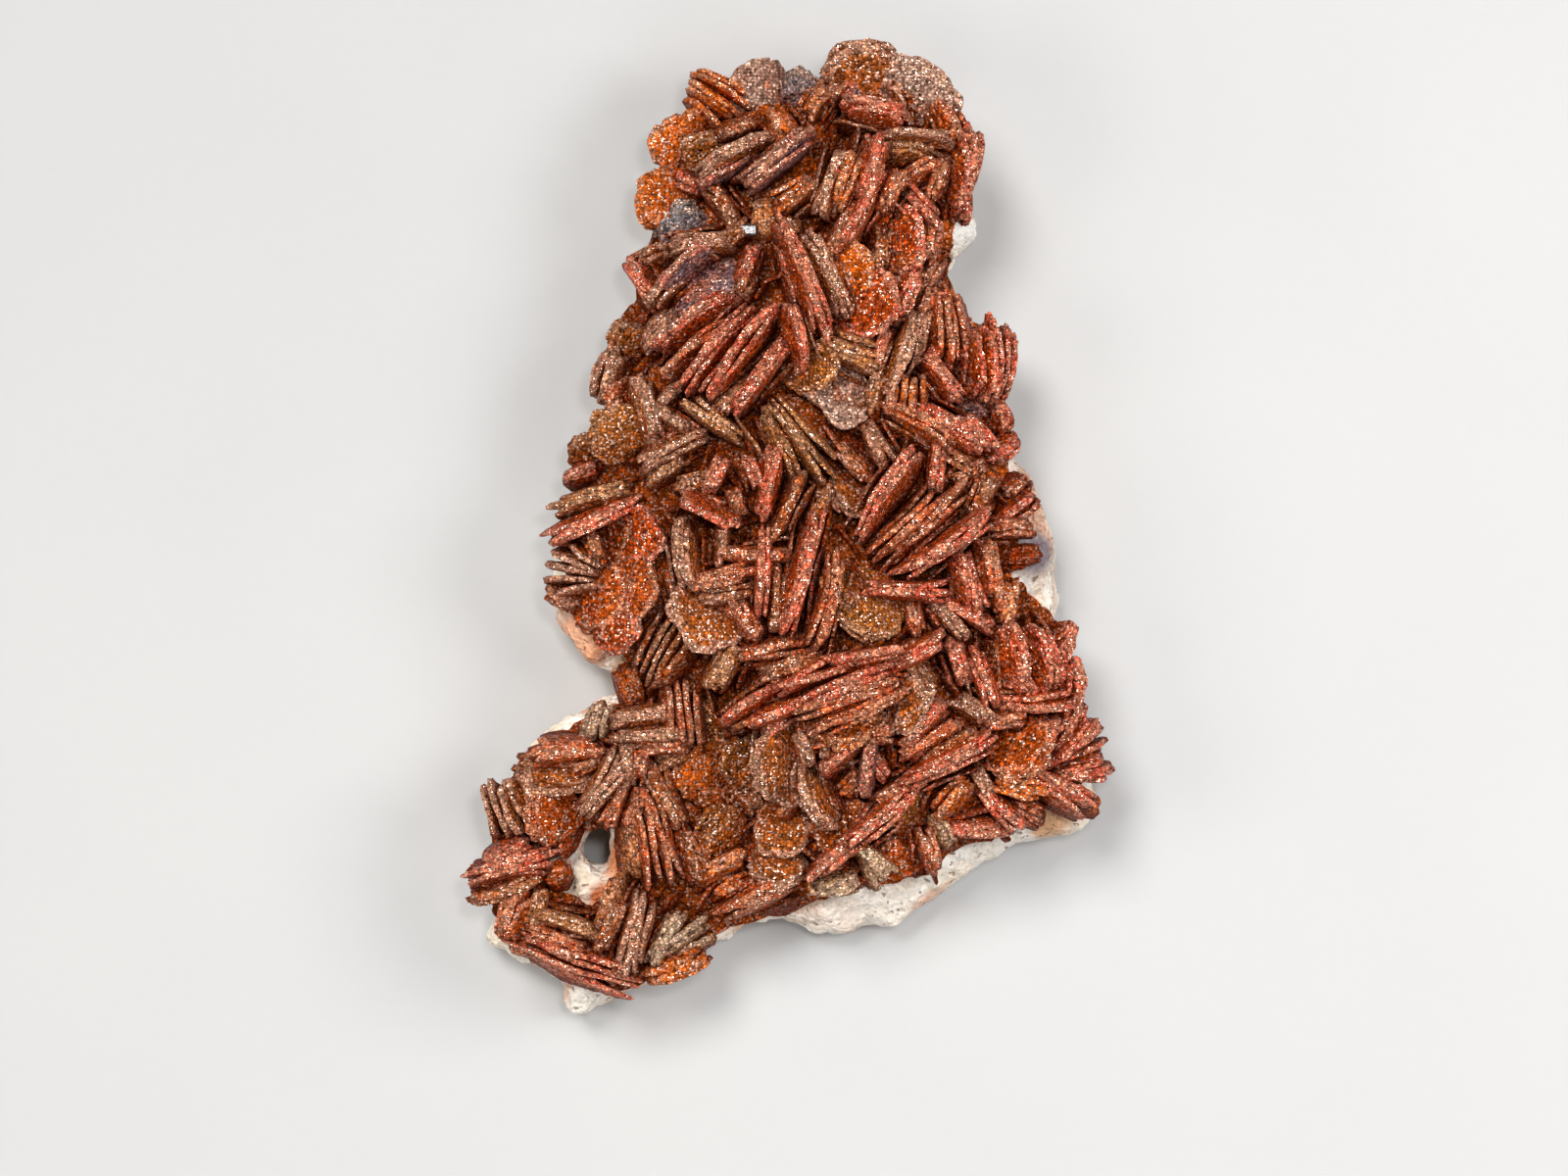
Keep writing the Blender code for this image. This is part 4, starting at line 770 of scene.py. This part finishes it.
@dataclass(frozen=True)
class FloorFinish:
    """The pale sheet that the specimen lies on, in two near tones."""

    colour: Colour = srgb(184, 184, 184)
    other: Colour = srgb(177, 178, 180)

    def material(self) -> bpy.types.Material:
        """Build the material."""
        g = NodeGraph("pale_sheet")
        tooth = g.noise(1.5, 3.0)
        base = g.mix(g.noise(60.0, 2.0).rise(0.3, 0.7) * 0.3, self.colour, self.other)
        return g.finish(base, tooth.rise(0.2, 0.8, 0.75, 0.9), g.bump(tooth, 0.02))


@dataclass(frozen=True)
class BladeForm:
    """How the blades depart from flat oval plates.

    Attributes:
        seat: Depth of the foot in the crust, in mm.
        lift: How far a blade that lies flat is raised, in mm.
        flat: Range of lean, in radians, over which a blade comes to lie flat.
        slim: Range of length, in mm, over which blades get narrower ends.
        power: Exponent of the outline: 2 is an oval, and more is squarer.
        slim_power: What slim blades lose of it.
        odd_power: What chance adds to it or takes away.
        flat_power: What flat blades lose of it.
        wave: Height of the outline's broad waves, as a share, and their number.
        flat_wave: What flat blades add to that height.
        ripple: Height of the outline's fine waves, as a share, and their number.
        edge: Share of the plate over which it thins out.
        rim: Range of the way to the outline that counts as the rim.
        taper: How much the ends are thinner, and what slim blades add to it.
        top_taper: How much the rim is thinner than the foot.
        sway: Height and width of the plate's undulation, in mm.
        bow: How much a blade curves along its length.
        knob: Width of the grainy knobs, in mm.
        rough: Height of the knobs on the faces, in mm.
        burr: Height of the knobs on the rim, in mm.
    """

    seat: float = 2.0
    lift: float = 2.2
    flat: Point = (0.35, 0.75)
    slim: Point = (8.0, 12.0)
    power: float = 2.5
    slim_power: float = 0.45
    odd_power: float = 0.35
    flat_power: float = 0.5
    wave: Point = (0.13, 1.4)
    flat_wave: float = 0.1
    ripple: Point = (0.07, 4.2)
    edge: float = 0.4
    rim: Point = (0.72, 0.97)
    taper: Point = (0.4, 0.34)
    top_taper: float = 0.45
    sway: Point = (0.35, 5)
    bow: float = 1.1
    knob: float = 0.9
    rough: float = 0.14
    burr: float = 0.5


@dataclass(frozen=True)
class Blade:
    """One crystal plate that stands in the crust.

    Attributes:
        x: Its middle from above, in mm.
        y: Its middle from above, in mm.
        turn: Direction of its edge from +X, in radians.
        lean: Tilt off the vertical towards the left of the edge, in radians.
        length: Its length, in mm.
        height: Its height from the foot, in mm.
        thick: Its thickness, in mm.
        tone: Colour of its coat.
        shade: Lightness of its coat.
        seed: Number that sets its own irregularities.
    """

    x: float
    y: float
    turn: float
    lean: float
    length: float
    height: float
    thick: float
    tone: Tone
    shade: float
    seed: float

    form: ClassVar[BladeForm] = BladeForm()

    @property
    def along(self) -> Vector:
        """Direction of the edge."""
        return Vector((math.cos(self.turn), math.sin(self.turn), 0))

    @property
    def side(self) -> Vector:
        """Level direction to the left of the edge."""
        return Vector((-math.sin(self.turn), math.cos(self.turn), 0))

    @property
    def up(self) -> Vector:
        """Direction from the foot to the rim."""
        return self.side * math.sin(self.lean) + Vector((0, 0, math.cos(self.lean)))

    @property
    def face(self) -> Vector:
        """Direction that the plate's left face looks in."""
        return self.side * math.cos(self.lean) - Vector((0, 0, math.sin(self.lean)))

    def middle(self, ground: Terrain) -> Vector:
        """Its centre, once the foot is sunk in the crust."""
        foot = Vector((self.x, self.y, 0)) - self.side * math.sin(self.lean) * self.height / 2
        lift = self.form.lift * math.sin(self.lean) ** 2 - self.form.seat
        z = ground.top(foot.x, foot.y) + lift + math.cos(self.lean) * self.height / 2
        return Vector((self.x, self.y, z))

    def place(self, ball: Vector, centre: Vector) -> tuple[Vector, float]:
        """Where a point of a round ball lies on the blade.

        Args:
            ball: The point on a ball of radius 1: X along the edge, Y across, Z up.
            centre: The blade's centre, in mm.

        Returns:
            The place in mm, and how near to the rim it is, from 0 to 1.
        """
        form, seed = self.form, self.seed
        reach = min(math.hypot(ball.x, ball.z), 1.0)
        c, s = (ball.x / reach, ball.z / reach) if reach > 1e-6 else (1.0, 0.0)
        flat = ramp(*form.flat, abs(self.lean))
        slim = ramp(*form.slim, self.length)
        power = form.power - form.slim_power * slim + form.odd_power * math.sin(seed * 1.7)
        power -= form.flat_power * flat
        outline = (abs(c) ** power + abs(s) ** power) ** (-1 / power)
        height, number = form.wave
        broad = noise.noise(Vector((c * number, s * number, seed)))
        outline *= 1 + (height + form.flat_wave * flat) * broad
        height, number = form.ripple
        outline *= 1 + height * noise.noise(Vector((c * number, s * number, seed + 9)))
        a = reach * outline * c * self.length / 2
        b = reach * outline * s * self.height / 2
        plate = min(1.0, math.sqrt(max(1 - reach * reach, 0)) / form.edge) ** 0.8
        rim = ramp(*form.rim, reach)
        taper = 1 - (form.taper[0] + form.taper[1] * slim) * (reach * c) ** 2
        taper *= 1 - form.top_taper * ramp(0.1, 1.0, reach * s)
        t = math.copysign(self.thick / 2 * plate * taper, ball.y)
        height, width = form.sway
        t += height * noise.noise(Vector((a / width, b / width, seed + 3)))
        t += form.bow * math.sin(seed * 2.3) * (a / self.length) ** 2 * self.length / 10
        rough = noise.noise(Vector((a, b, seed * 5 + t * 1.3)) / form.knob)
        t += math.copysign(form.rough * rough * (0.6 + rim), ball.y)
        a += c * form.burr * rough * rim
        b += s * form.burr * rough * rim
        return centre + self.along * a + self.up * b + self.face * t, rim


@dataclass
class BladeShop:
    """Makes blades and adds them to a cluster's mesh.

    Attributes:
        ground: The terrain that the blades stand on.
        shift: From the drawing's places to the frame's, in mm.
        shadow: Share of the painted shade colour at the foot.
        foot_shade: Range of height over the crust in which the painted shade fades, in mm.
        bare: Range of height over which the rim's own colour sets in, in mm.
        root: Depth in the crust at which blades are cut off, in mm.
        balls: Round templates by the number of parts of each edge.
    """

    ground: Terrain
    shift: Vector
    shadow: float = 0.92
    foot_shade: Point = (0.0, 5.4)
    bare: Point = (0.5, 3.5)
    root: float = 1.7
    balls: dict[int, bpy.types.Mesh] = field(default_factory=dict)

    def ball(self, parts: int) -> bpy.types.Mesh:
        """A ball of even triangles."""
        if parts not in self.balls:
            bm = bmesh.new()
            bmesh.ops.create_icosphere(bm, subdivisions=1, radius=1.0)
            bmesh.ops.subdivide_edges(bm, edges=bm.edges, cuts=parts - 1, use_grid_fill=True)
            bmesh.ops.triangulate(bm, faces=bm.faces)
            for vert in bm.verts:
                vert.co.normalize()
            turn = Matrix.Rotation(0.3, 3, "X")
            bmesh.ops.rotate(bm, cent=(0, 0, 0), matrix=turn, verts=bm.verts)
            self.balls[parts] = to_mesh("ball", bm)
        return self.balls[parts]

    def add(self, target: bmesh.types.BMesh, blade: Blade, parts: int) -> None:
        """Add one blade to a cluster's mesh.

        Args:
            target: The cluster's mesh, in metres.
            blade: The blade.
            parts: How finely it is divided.
        """
        bm = bmesh.new()
        bm.from_mesh(self.ball(parts))
        coat = bm.verts.layers.float_color.new("coat")
        edge = bm.verts.layers.float_color.new("edge")
        centre = blade.middle(self.ground)
        ends = [centre + blade.along * blade.length * share for share in (-0.42, 0, 0.42)]
        levels = [self.ground.top(end.x, end.y) for end in ends]
        face, rim_colour = (tuple(v * blade.shade for v in colour) for colour in blade.tone.value)
        foot = centre.z - math.cos(blade.lean) * blade.height / 2 + blade.form.seat
        for vert in bm.verts:
            place, rim = blade.place(vert.co.copy(), centre)
            # Height over the foot, raised for leaning blades so that their faces take less painted shade
            # and show the rim's colour sooner
            high = place.z - foot + 4.0 * math.sin(blade.lean) ** 2
            vert[coat] = (*face, rim * ramp(*self.bare, high))
            # The edge alpha is the share of painted shade: most at the foot, none high up
            vert[edge] = (*rim_colour, self.shadow * (1 - ramp(*self.foot_shade, high)))
            vert.co = place
        # A blade over the edge keeps its foot, which shows from the side
        if all(is_inside(end.x, end.y, CRUST_EDGE) for end in ends):
            everything = bm.verts[:] + bm.edges[:] + bm.faces[:]
            level = Vector((0, 0, min(levels) - self.root))
            cut = bmesh.ops.bisect_plane(bm, geom=everything, dist=CLOSE, plane_co=level,
                                         plane_no=(0, 0, 1), clear_inner=True)
            edges = [item for item in cut["geom_cut"] if isinstance(item, bmesh.types.BMEdge)]
            bmesh.ops.edgeloop_fill(bm, edges=edges)
            bmesh.ops.triangulate(bm, faces=bm.faces)
        into_frame(bm, self.shift)
        made = to_mesh("blade", bm)
        target.from_mesh(made)
        bpy.data.meshes.remove(made)


@dataclass(frozen=True)
class Slab:
    """A solid patch of ground on a fine square grid.

    Attributes:
        step: Width of the grid's squares, in mm.
        keep: Whether the ground covers a place.
        edges: Outlines that its rim is drawn to.
        top: Height of its upper face at a place.
        bottom: Height of its lower face at a place.
        snap: How near a corner has to be to an outline to move onto it, as a share of the step.
    """

    step: float
    keep: Callable[[float, float], bool]
    edges: Sequence[Loop]
    top: Callable[[float, float], float]
    bottom: Callable[[float, float], float]
    snap: float = 0.8

    def mesh(self) -> bmesh.types.BMesh:
        """Build it, in mm, as one closed solid."""
        bm = bmesh.new()
        half = math.ceil(REACH / self.step)
        bmesh.ops.create_grid(bm, x_segments=2 * half, y_segments=2 * half, size=half * self.step)
        spare = [face for face in bm.faces if not self.keep(*face.calc_center_median().xy)]
        bmesh.ops.delete(bm, geom=spare, context="FACES")
        for vert in [v for v in bm.verts if v.is_boundary]:
            gap, (x, y) = min(nearest_on(vert.co.x, vert.co.y, loop) for loop in self.edges)
            if gap < self.snap * self.step:
                vert.co.x, vert.co.y = x, y
        lower = bmesh.ops.extrude_face_region(bm, geom=bm.faces[:])["geom"]
        upper = {v for v in lower if isinstance(v, bmesh.types.BMVert)}
        for vert in bm.verts:
            x, y = vert.co.x, vert.co.y
            vert.co.z = self.top(x, y) if vert in upper else self.bottom(x, y)
        bmesh.ops.remove_doubles(bm, verts=bm.verts, dist=CLOSE)
        bmesh.ops.recalc_face_normals(bm, faces=bm.faces)
        return bm


def add_piece(name: str, bm: bmesh.types.BMesh, material: bpy.types.Material, slot: str,
              *nodes: str) -> bpy.types.Object:
    """Turn a bmesh into a piece of the specimen.

    Args:
        name: The piece's name.
        bm: Its mesh, in metres, which is freed.
        material: Its finish.
        slot: The record's material slot; not used.
        *nodes: The solids that it stands for.

    Returns:
        The new object.
    """
    obj = add_object(name, to_mesh(name, bm))
    obj.data.materials.append(material)
    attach(obj, BODY)
    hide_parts(*nodes)
    LOG.info("%s: %d faces", name, len(obj.data.polygons))
    return obj


@dataclass
class ClusterMaker:
    """Builds each cluster: its patch of crust, its blades and the small blades between them.

    Attributes:
        shop: Where the blades come from.
        material: The druse.
        step: Grid of the crust, in mm.
        spacing: Distance between small blades, in mm.
        fine: Parts of a ball's edge for each mm of a blade's length.
        parts: Fewest and most parts for a drawn blade.
        side_parts: Parts for a blade beside a sheaf.
        small_parts: Parts for a small blade.
        sink: How far the crust lies under the blades' footing, in mm.
        cover: Least thickness of the crust over the rock, in mm.
        lumps: Height in mm, layer and width in mm of the crust's lumps.
        under: Depth in mm, roughness in mm and its width in mm of the crust's lower face.
        swell: Width, roughness and its width in mm by which the crust's wall is thicker.
        tones: Colours of the small blades.
    """

    shop: BladeShop
    material: bpy.types.Material
    step: float = 1.0
    spacing: float = 4.5
    fine: float = 0.75
    parts: tuple[int, int] = (6, 15)
    side_parts: int = 4
    small_parts: int = 3
    sink: float = 1.1
    cover: float = 1.2
    lumps: Sequence[tuple[float, float, float]] = ((0.8, 7, 1.9), (0.5, 3, 0.9))
    under: tuple[float, float, float] = (2.4, 1.8, 2.2)
    swell: tuple[float, float, float] = (0.6, 0.8, 1.5)
    tones: Sequence[Tone] = (BROWN, RUST, SMOKY, AMBER, BROWN, SMOKY)

    @staticmethod
    def has_crust(x: float, y: float) -> bool:
        """Whether crust covers a place."""
        return is_inside(x, y, CRUST_EDGE) and not is_inside(x, y, WINDOW)

    def crust(self, cell: Loop) -> bmesh.types.BMesh:
        """The patch of crust in one cell."""
        ground = self.shop.ground

        def upper(x: float, y: float) -> float:
            """Height of the upper face."""
            lumps = sum(height * wave(x, y, layer, width) for height, layer, width in self.lumps)
            return max(ground.top(x, y) - self.sink, ground.rock(x, y) + self.cover) + lumps

        def lower(x: float, y: float) -> float:
            """Height of the lower face, in the rock."""
            depth, height, width = self.under
            return ground.rock(x, y) - depth + height * wave(x, y, 5, width)

        bm = Slab(self.step, lambda x, y: is_inside(x, y, cell) and self.has_crust(x, y),
                  (CRUST_EDGE, WINDOW), upper, lower).mesh()
        bm.normal_update()
        thick, height, width = self.swell
        # The wall bulges, and hides the rock behind it
        for vert in [v for v in bm.verts if abs(v.normal.z) < 0.8]:
            out = Vector((vert.normal.x, vert.normal.y, 0)).normalized()
            vert.co += out * (thick + height * noise.noise(vert.co / width))
        coat = bm.verts.layers.float_color.new("coat")
        edge = bm.verts.layers.float_color.new("edge")
        for vert in bm.verts:
            share = 0.5 + 0.9 * wave(vert.co.x, vert.co.y, 60, 5)
            vert[coat] = (*blend(SMOKY.value[0], AMBER.value[0], share), 0.0)
            # Painted shade on the crust between the blades: 0.45 to 0.8 of the dark shade colour, less
            # where it is more amber
            vert[edge] = (*AMBER.value[1], 0.8 - 0.35 * min(max(share, 0), 1))
        bmesh.ops.triangulate(bm, faces=bm.faces)
        into_frame(bm, self.shop.shift)
        return bm

    def main_blades(self, sheaves: Iterable[Sheaf], rng: random.Random) -> list[Blade]:
        """The blades of the drawn sheaves."""
        blades = []
        for sheaf in sheaves:
            # A stack of up to three is a book of thinner leaves, which fan out from the tallest
            book = sheaf.count <= 3
            leaves = sheaf.count + 1 if book else sheaf.count
            pitch = sheaf.pitch * (0.6 if book else 1.0)
            tallest = (leaves - 1) * rng.uniform(0.35, 0.65)
            for i in range(leaves):
                step = i - (leaves - 1) / 2
                away = abs(i - tallest)
                turn = math.radians(sheaf.turn + sheaf.spread * step + rng.gauss(0, 2))
                slide = rng.gauss(0, 0.35)
                x = sheaf.x - math.sin(turn) * pitch * step + math.cos(turn) * slide
                y = sheaf.y + math.cos(turn) * pitch * step + math.sin(turn) * slide
                lean = sheaf.lean + rng.gauss(0, 3) + 5 * (tallest - i)
                blades.append(Blade(
                    x, y, turn, math.radians(lean * (1.3 if abs(sheaf.lean) > 29 else 1.0)),
                    sheaf.length * (1 - 0.11 * away) * rng.uniform(0.96, 1.05),
                    sheaf.height * (1 - 0.07 * away) * rng.uniform(0.95, 1.04),
                    rng.uniform(1.0, 1.3) + (0.5 if away < 0.6 and book else 0.0), sheaf.tone,
                    rng.uniform(0.82, 1.12), rng.uniform(0, 90)))
        return blades

    def side_blades(self, sheaves: Iterable[Sheaf], rng: random.Random) -> list[Blade]:
        """Thin lower blades along both sides of the drawn sheaves."""
        blades = []
        for sheaf in sheaves:
            half = (sheaf.count * (0.9 if sheaf.count <= 3 else sheaf.pitch) + 0.7) / 2
            for way in (-1, 1):
                gap = half
                for number in range(rng.choice((0, 1, 1, 1))):
                    gap += rng.uniform(0.7, 1.1)
                    turn = math.radians(sheaf.turn + rng.gauss(0, 5) + way * 4)
                    slide = rng.gauss(0, 0.12) * sheaf.length
                    x = sheaf.x - math.sin(turn) * gap * way + math.cos(turn) * slide
                    y = sheaf.y + math.cos(turn) * gap * way + math.sin(turn) * slide
                    dx, dy = math.cos(turn) * sheaf.length, math.sin(turn) * sheaf.length
                    ends = [(x + dx * share, y + dy * share) for share in (-0.32, 0, 0.32)]
                    if is_inside(x, y, WINDOW) or not all(is_inside(*end, CRUST_EDGE) for end in ends):
                        continue
                    lean = sheaf.lean * 0.8 - way * rng.uniform(2, 12)
                    blades.append(Blade(
                        x, y, turn, math.radians(lean), sheaf.length * rng.uniform(0.6, 0.9),
                        min(sheaf.height, 8.5) * rng.uniform(0.52, 0.7) - 0.3 * number,
                        rng.uniform(0.5, 0.75), rng.choice((BROWN, RUST, sheaf.tone)),
                        rng.uniform(0.75, 1.05), rng.uniform(0, 90)))
        return blades

    def small_blades(self, cell: Loop, large: Sequence[Blade], rng: random.Random) -> list[Blade]:
        """Short blades that fill the ground between the drawn ones."""
        blades = []
        count = math.ceil(REACH / self.spacing)
        for row in range(-count, count):
            for column in range(-count, count):
                x = (column + rng.uniform(-0.4, 0.4)) * self.spacing
                y = (row + rng.uniform(-0.4, 0.4)) * self.spacing
                if not (is_inside(x, y, cell) and self.has_crust(x, y)):
                    continue
                near = min(large, key=lambda b: math.hypot(b.x - x, b.y - y))
                # Beside a blade that lies flat the ground stays free, since its face covers it
                gap = math.hypot(near.x - x, near.y - y)
                if abs(near.lean) > LYING and gap < near.height / 2:
                    continue
                turn = near.turn + math.radians(rng.gauss(0, 18) + (90 if rng.random() < 0.12 else 0))
                blades.append(Blade(
                    x, y, turn, math.radians(rng.uniform(-22, 22)), rng.uniform(4.0, 7.0),
                    rng.uniform(2.6, 4.0), rng.uniform(0.6, 0.8), rng.choice(self.tones),
                    rng.uniform(0.75, 1.1), rng.uniform(0, 90)))
        return blades

    def build(self, name: str, cell: Loop, sheaves: Sequence[Sheaf]) -> bpy.types.Object:
        """Build one cluster in place of its solid."""
        rng = random.Random(name)
        bm = self.crust(cell)
        large = self.main_blades(sheaves, rng)
        fewest, most = self.parts
        for blade in large:
            self.shop.add(bm, blade, min(max(round(blade.length * self.fine), fewest), most))
        for blade in self.side_blades(sheaves, rng):
            self.shop.add(bm, blade, self.side_parts)
        for blade in self.small_blades(cell, large, rng):
            self.shop.add(bm, blade, self.small_parts)
        return add_piece(f"{name}_blades", bm, self.material, "blades", name)


# Spots on the rock: x, y, radius, colour, strength
TINTS: list[tuple[float, float, float, Colour, float]] = [
    (-25.0, -13.2, 4.2, srgb(226, 158, 116), 0.9), (30.6, -2.6, 3.0, srgb(120, 108, 116), 0.95),
    (32.4, -35.2, 3.4, srgb(206, 140, 74), 0.8), (-19.2, -40.5, 3.2, srgb(206, 122, 66), 0.95),
    (-27.8, -41.5, 1.6, srgb(204, 100, 40), 0.95), (-22.4, -45.2, 2.2, srgb(196, 106, 50), 0.95),
    (-26.6, -43.5, 2.6, srgb(236, 214, 188), 0.8), (-23.0, -48.0, 1.8, srgb(70, 40, 26), 0.9),
    (22.3, 37.2, 2.4, srgb(244, 240, 232), 0.9), (-17.3, 21.0, 2.2, srgb(238, 222, 196), 0.9),
    (-20.2, 7.6, 2.0, srgb(136, 132, 140), 0.85), (-28.0, -6.8, 2.2, srgb(240, 222, 196), 0.9),
    (21.5, -13.5, 2.6, srgb(178, 172, 170), 0.7), (28.5, -8.0, 2.2, srgb(186, 178, 174), 0.7),
    (17.3, -33.0, 3.0, srgb(216, 168, 150), 0.8), (-29.6, -26.0, 2.6, srgb(244, 226, 200), 0.9),
    (-36.0, -50.9, 2.4, srgb(244, 228, 206), 0.9), (-19.0, -17.5, 3.0, srgb(206, 150, 92), 0.8),
    (-24.4, -58.6, 3.0, srgb(242, 234, 222), 0.9), (10.0, -47.5, 7.0, srgb(240, 230, 218), 0.8),
    (-10.0, -51.5, 4.0, srgb(238, 228, 214), 0.8), (27.0, -39.0, 5.0, srgb(240, 232, 222), 0.8),
]


@dataclass(frozen=True)
class HostRock:
    """The rock under everything: broken edges, a lumpy face, a flat back and a small hole through it.

    Attributes:
        ground: Its shape.
        shift: From the drawing's places to the frame's, in mm.
        step: Grid of the first shape, in mm.
        voxel: Size of the evened mesh's squares, in mm.
        rough: Heights and widths of its roughness, in mm.
        pits: Height and width of its broken corners, in mm.
        rounds: How often the first shape is smoothed.
    """

    ground: Terrain
    shift: Vector
    step: float = 1.5
    voxel: float = 0.9
    rough: Sequence[Point] = ((0.8, 6.0), (0.6, 2.6), (0.34, 1.2))
    pits: Point = (0.5, 3.2)
    rounds: int = 5

    def block(self) -> bmesh.types.BMesh:
        """The first, smooth shape."""
        return Slab(self.step, lambda x, y: is_inside(x, y, ROCK_EDGE) and not is_inside(x, y, HOLE),
                    (ROCK_EDGE, HOLE), self.ground.rock, lambda x, y: 0.0).mesh()

    def even(self, bm: bmesh.types.BMesh) -> bmesh.types.BMesh:
        """Spread the mesh evenly over the shape."""
        mesh = to_mesh("block", bm)
        block = add_object("block", mesh)
        modifier = block.modifiers.new("even", "REMESH")
        modifier.mode = "VOXEL"
        modifier.voxel_size = self.voxel
        evaluated = block.evaluated_get(bpy.context.evaluated_depsgraph_get())
        result = bmesh.new()
        result.from_mesh(evaluated.to_mesh())
        evaluated.to_mesh_clear()
        bpy.data.objects.remove(block)
        bpy.data.meshes.remove(mesh)
        return result

    def roughen(self, bm: bmesh.types.BMesh) -> None:
        """Break up the surface, and keep the back flat."""
        for _ in range(self.rounds):
            bmesh.ops.smooth_vert(bm, verts=bm.verts, factor=0.5, use_axis_x=True, use_axis_y=True,
                                  use_axis_z=True)
        bm.normal_update()
        height, width = self.pits
        for vert in bm.verts:
            place = vert.co.copy()
            push = sum(h * noise.noise(place / w + Vector((w, 0, 9))) for h, w in self.rough)
            push += height * (noise.voronoi(place / width)[0][0] - 0.4)
            vert.co = place + vert.normal * push * ramp(-0.2, 1.2, place.z)
            # The cut back stays flat
            vert.co.z = max(vert.co.z, 0.0) if place.z > 0.35 else 0.0

    def paint(self, bm: bmesh.types.BMesh) -> None:
        """Colour the spots."""
        layer = bm.verts.layers.float_color.new("tint")
        for vert in bm.verts:
            best = (0.0, (0.5, 0.5, 0.5))
            for x, y, radius, colour, strength in TINTS:
                gap = math.hypot(vert.co.x - x, vert.co.y - y)
                best = max(best, (strength * (1 - ramp(radius * 0.6, radius * 1.25, gap)), colour))
            vert[layer] = (*best[1], best[0] * ramp(0.5, 5.0, vert.co.z))

    def build(self, material: bpy.types.Material) -> bpy.types.Object:
        """Build the rock in place of its solid."""
        bm = self.even(self.block())
        self.roughen(bm)
        self.paint(bm)
        bmesh.ops.triangulate(bm, faces=bm.faces)
        into_frame(bm, self.shift)
        return add_piece("host_rock", bm, material, "rock", "matrix")


@dataclass(frozen=True)
class Studio:
    """The floor, the lights and the camera.

    Attributes:
        aim: Place that the camera looks down at, in mm.
        distance: Height of the camera over it, in mm.
        lens: Focal length, in mm.
        lights: Place and height, size, power in watts and colour of each soft light, in mm.
        key: Place, strength, width in degrees and colour of the far lamp that lights everything.
        room: Colour and strength of the light from all sides.
        floor_size: Half the width of the floor, in metres.
        floor_gap: How far the floor lies under the specimen's back, in metres.
    """

    aim: Vector
    distance: float = 635.0
    lens: float = 120.0
    lights: Sequence[tuple[Point, float, float, float, Colour]] = (
        ((320, 60), 320, 240, 1.3, (1.0, 0.99, 0.98)),
        ((-330, -40), 300, 220, 0.65, (1.0, 0.97, 0.93)),
        ((60, -330), 280, 220, 0.5, (1.0, 0.98, 0.96)),
        ((60, 70), 620, 70, 1.0, (1.0, 1.0, 1.0)),
    )
    key: tuple[Colour, float, float, Colour] = ((-150, 230, 460), 2.6, 22, (1.0, 0.98, 0.95))
    room: tuple[Colour, float] = ((0.92, 0.95, 1.0), 0.07)
    floor_size: float = 6.0
    floor_gap: float = 0.0002

    def floor(self, material: bpy.types.Material) -> None:
        """A wide pale sheet, just under the specimen's back."""
        bm = bmesh.new()
        bmesh.ops.create_grid(bm, x_segments=24, y_segments=24, size=self.floor_size)
        bmesh.ops.translate(bm, vec=(0, 0, -self.floor_gap), verts=bm.verts)
        floor = add_object("floor", to_mesh("floor", bm))
        floor.data.materials.append(material)

    def lamp(self, name: str, kind: str, place: Vector, power: float,
             colour: Colour) -> bpy.types.Light:
        """Hang up a lamp that looks at the specimen.

        Args:
            name: Its name.
            kind: Its type.
            place: Where it hangs from the specimen's middle, in mm.
            power: Its energy, in watts or as a sun's strength.
            colour: Its colour.

        Returns:
            The lamp's data.
        """
        data = bpy.data.lights.new(name, kind)
        data.energy = power
        data.color = colour
        lamp = add_object(name, data)
        lamp.location = (self.aim + place) * MM
        lamp.rotation_mode = "QUATERNION"
        lamp.rotation_quaternion = place.to_track_quat("Z", "Y")
        return data

    def light(self) -> None:
        """A far lamp, large soft lights round the camera, and one small one for glints."""
        place, strength, width, colour = self.key
        self.lamp("key", "SUN", Vector(place), strength, colour).angle = math.radians(width)
        for number, ((x, y), z, size, power, colour) in enumerate(self.lights):
            data = self.lamp(f"light_{number}", "AREA", Vector((x, y, z)), power, colour)
            data.shape = "DISK"
            data.size = size * MM
        world = bpy.data.worlds.new("soft_room")
        world.use_nodes = True
        background = world.node_tree.nodes["Background"]
        background.inputs["Color"].default_value = (*self.room[0], 1.0)
        background.inputs["Strength"].default_value = self.room[1]
        bpy.context.scene.world = world
        bpy.context.scene.view_settings.view_transform = "Standard"

    def camera(self) -> None:
        """A long lens that looks straight down."""
        data = bpy.data.cameras.new("camera")
        data.lens = self.lens
        data.sensor_width = 36
        data.clip_end = 10
        camera = add_object("camera", data)
        camera.location = (self.aim + Vector((0, 0, self.distance))) * MM
        bpy.context.scene.camera = camera


def main() -> None:
    """Build the specimen and the studio."""
    logging.basicConfig(level=logging.INFO, format="%(name)s: %(message)s")
    low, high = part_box("matrix")
    xs, ys = zip(*ROCK_EDGE)
    shift = Vector(((low.x + high.x) / 2 / MM - (min(xs) + max(xs)) / 2,
                    (low.y + high.y) / 2 / MM - (min(ys) + max(ys)) / 2, 0.0))
    LOG.info("shift %s", tuple(shift))
    ground = Terrain()
    HostRock(ground, shift).build(RockFinish().material())
    maker = ClusterMaker(BladeShop(ground, shift), DruseFinish().material())
    for name, cell in CELLS.items():
        maker.build(name, cell, [Sheaf(*row) for row in SHEAVES[name]])
    grain = bpy.data.objects["metallic_grain"]
    grain.data.materials.clear()
    grain.data.materials.append(MetalFinish().material())
    studio = Studio(Vector((-0.12, -6.8, 22.0)) + shift)
    studio.floor(FloorFinish().material())
    studio.light()
    studio.camera()


if __name__ == "__main__":
    main()
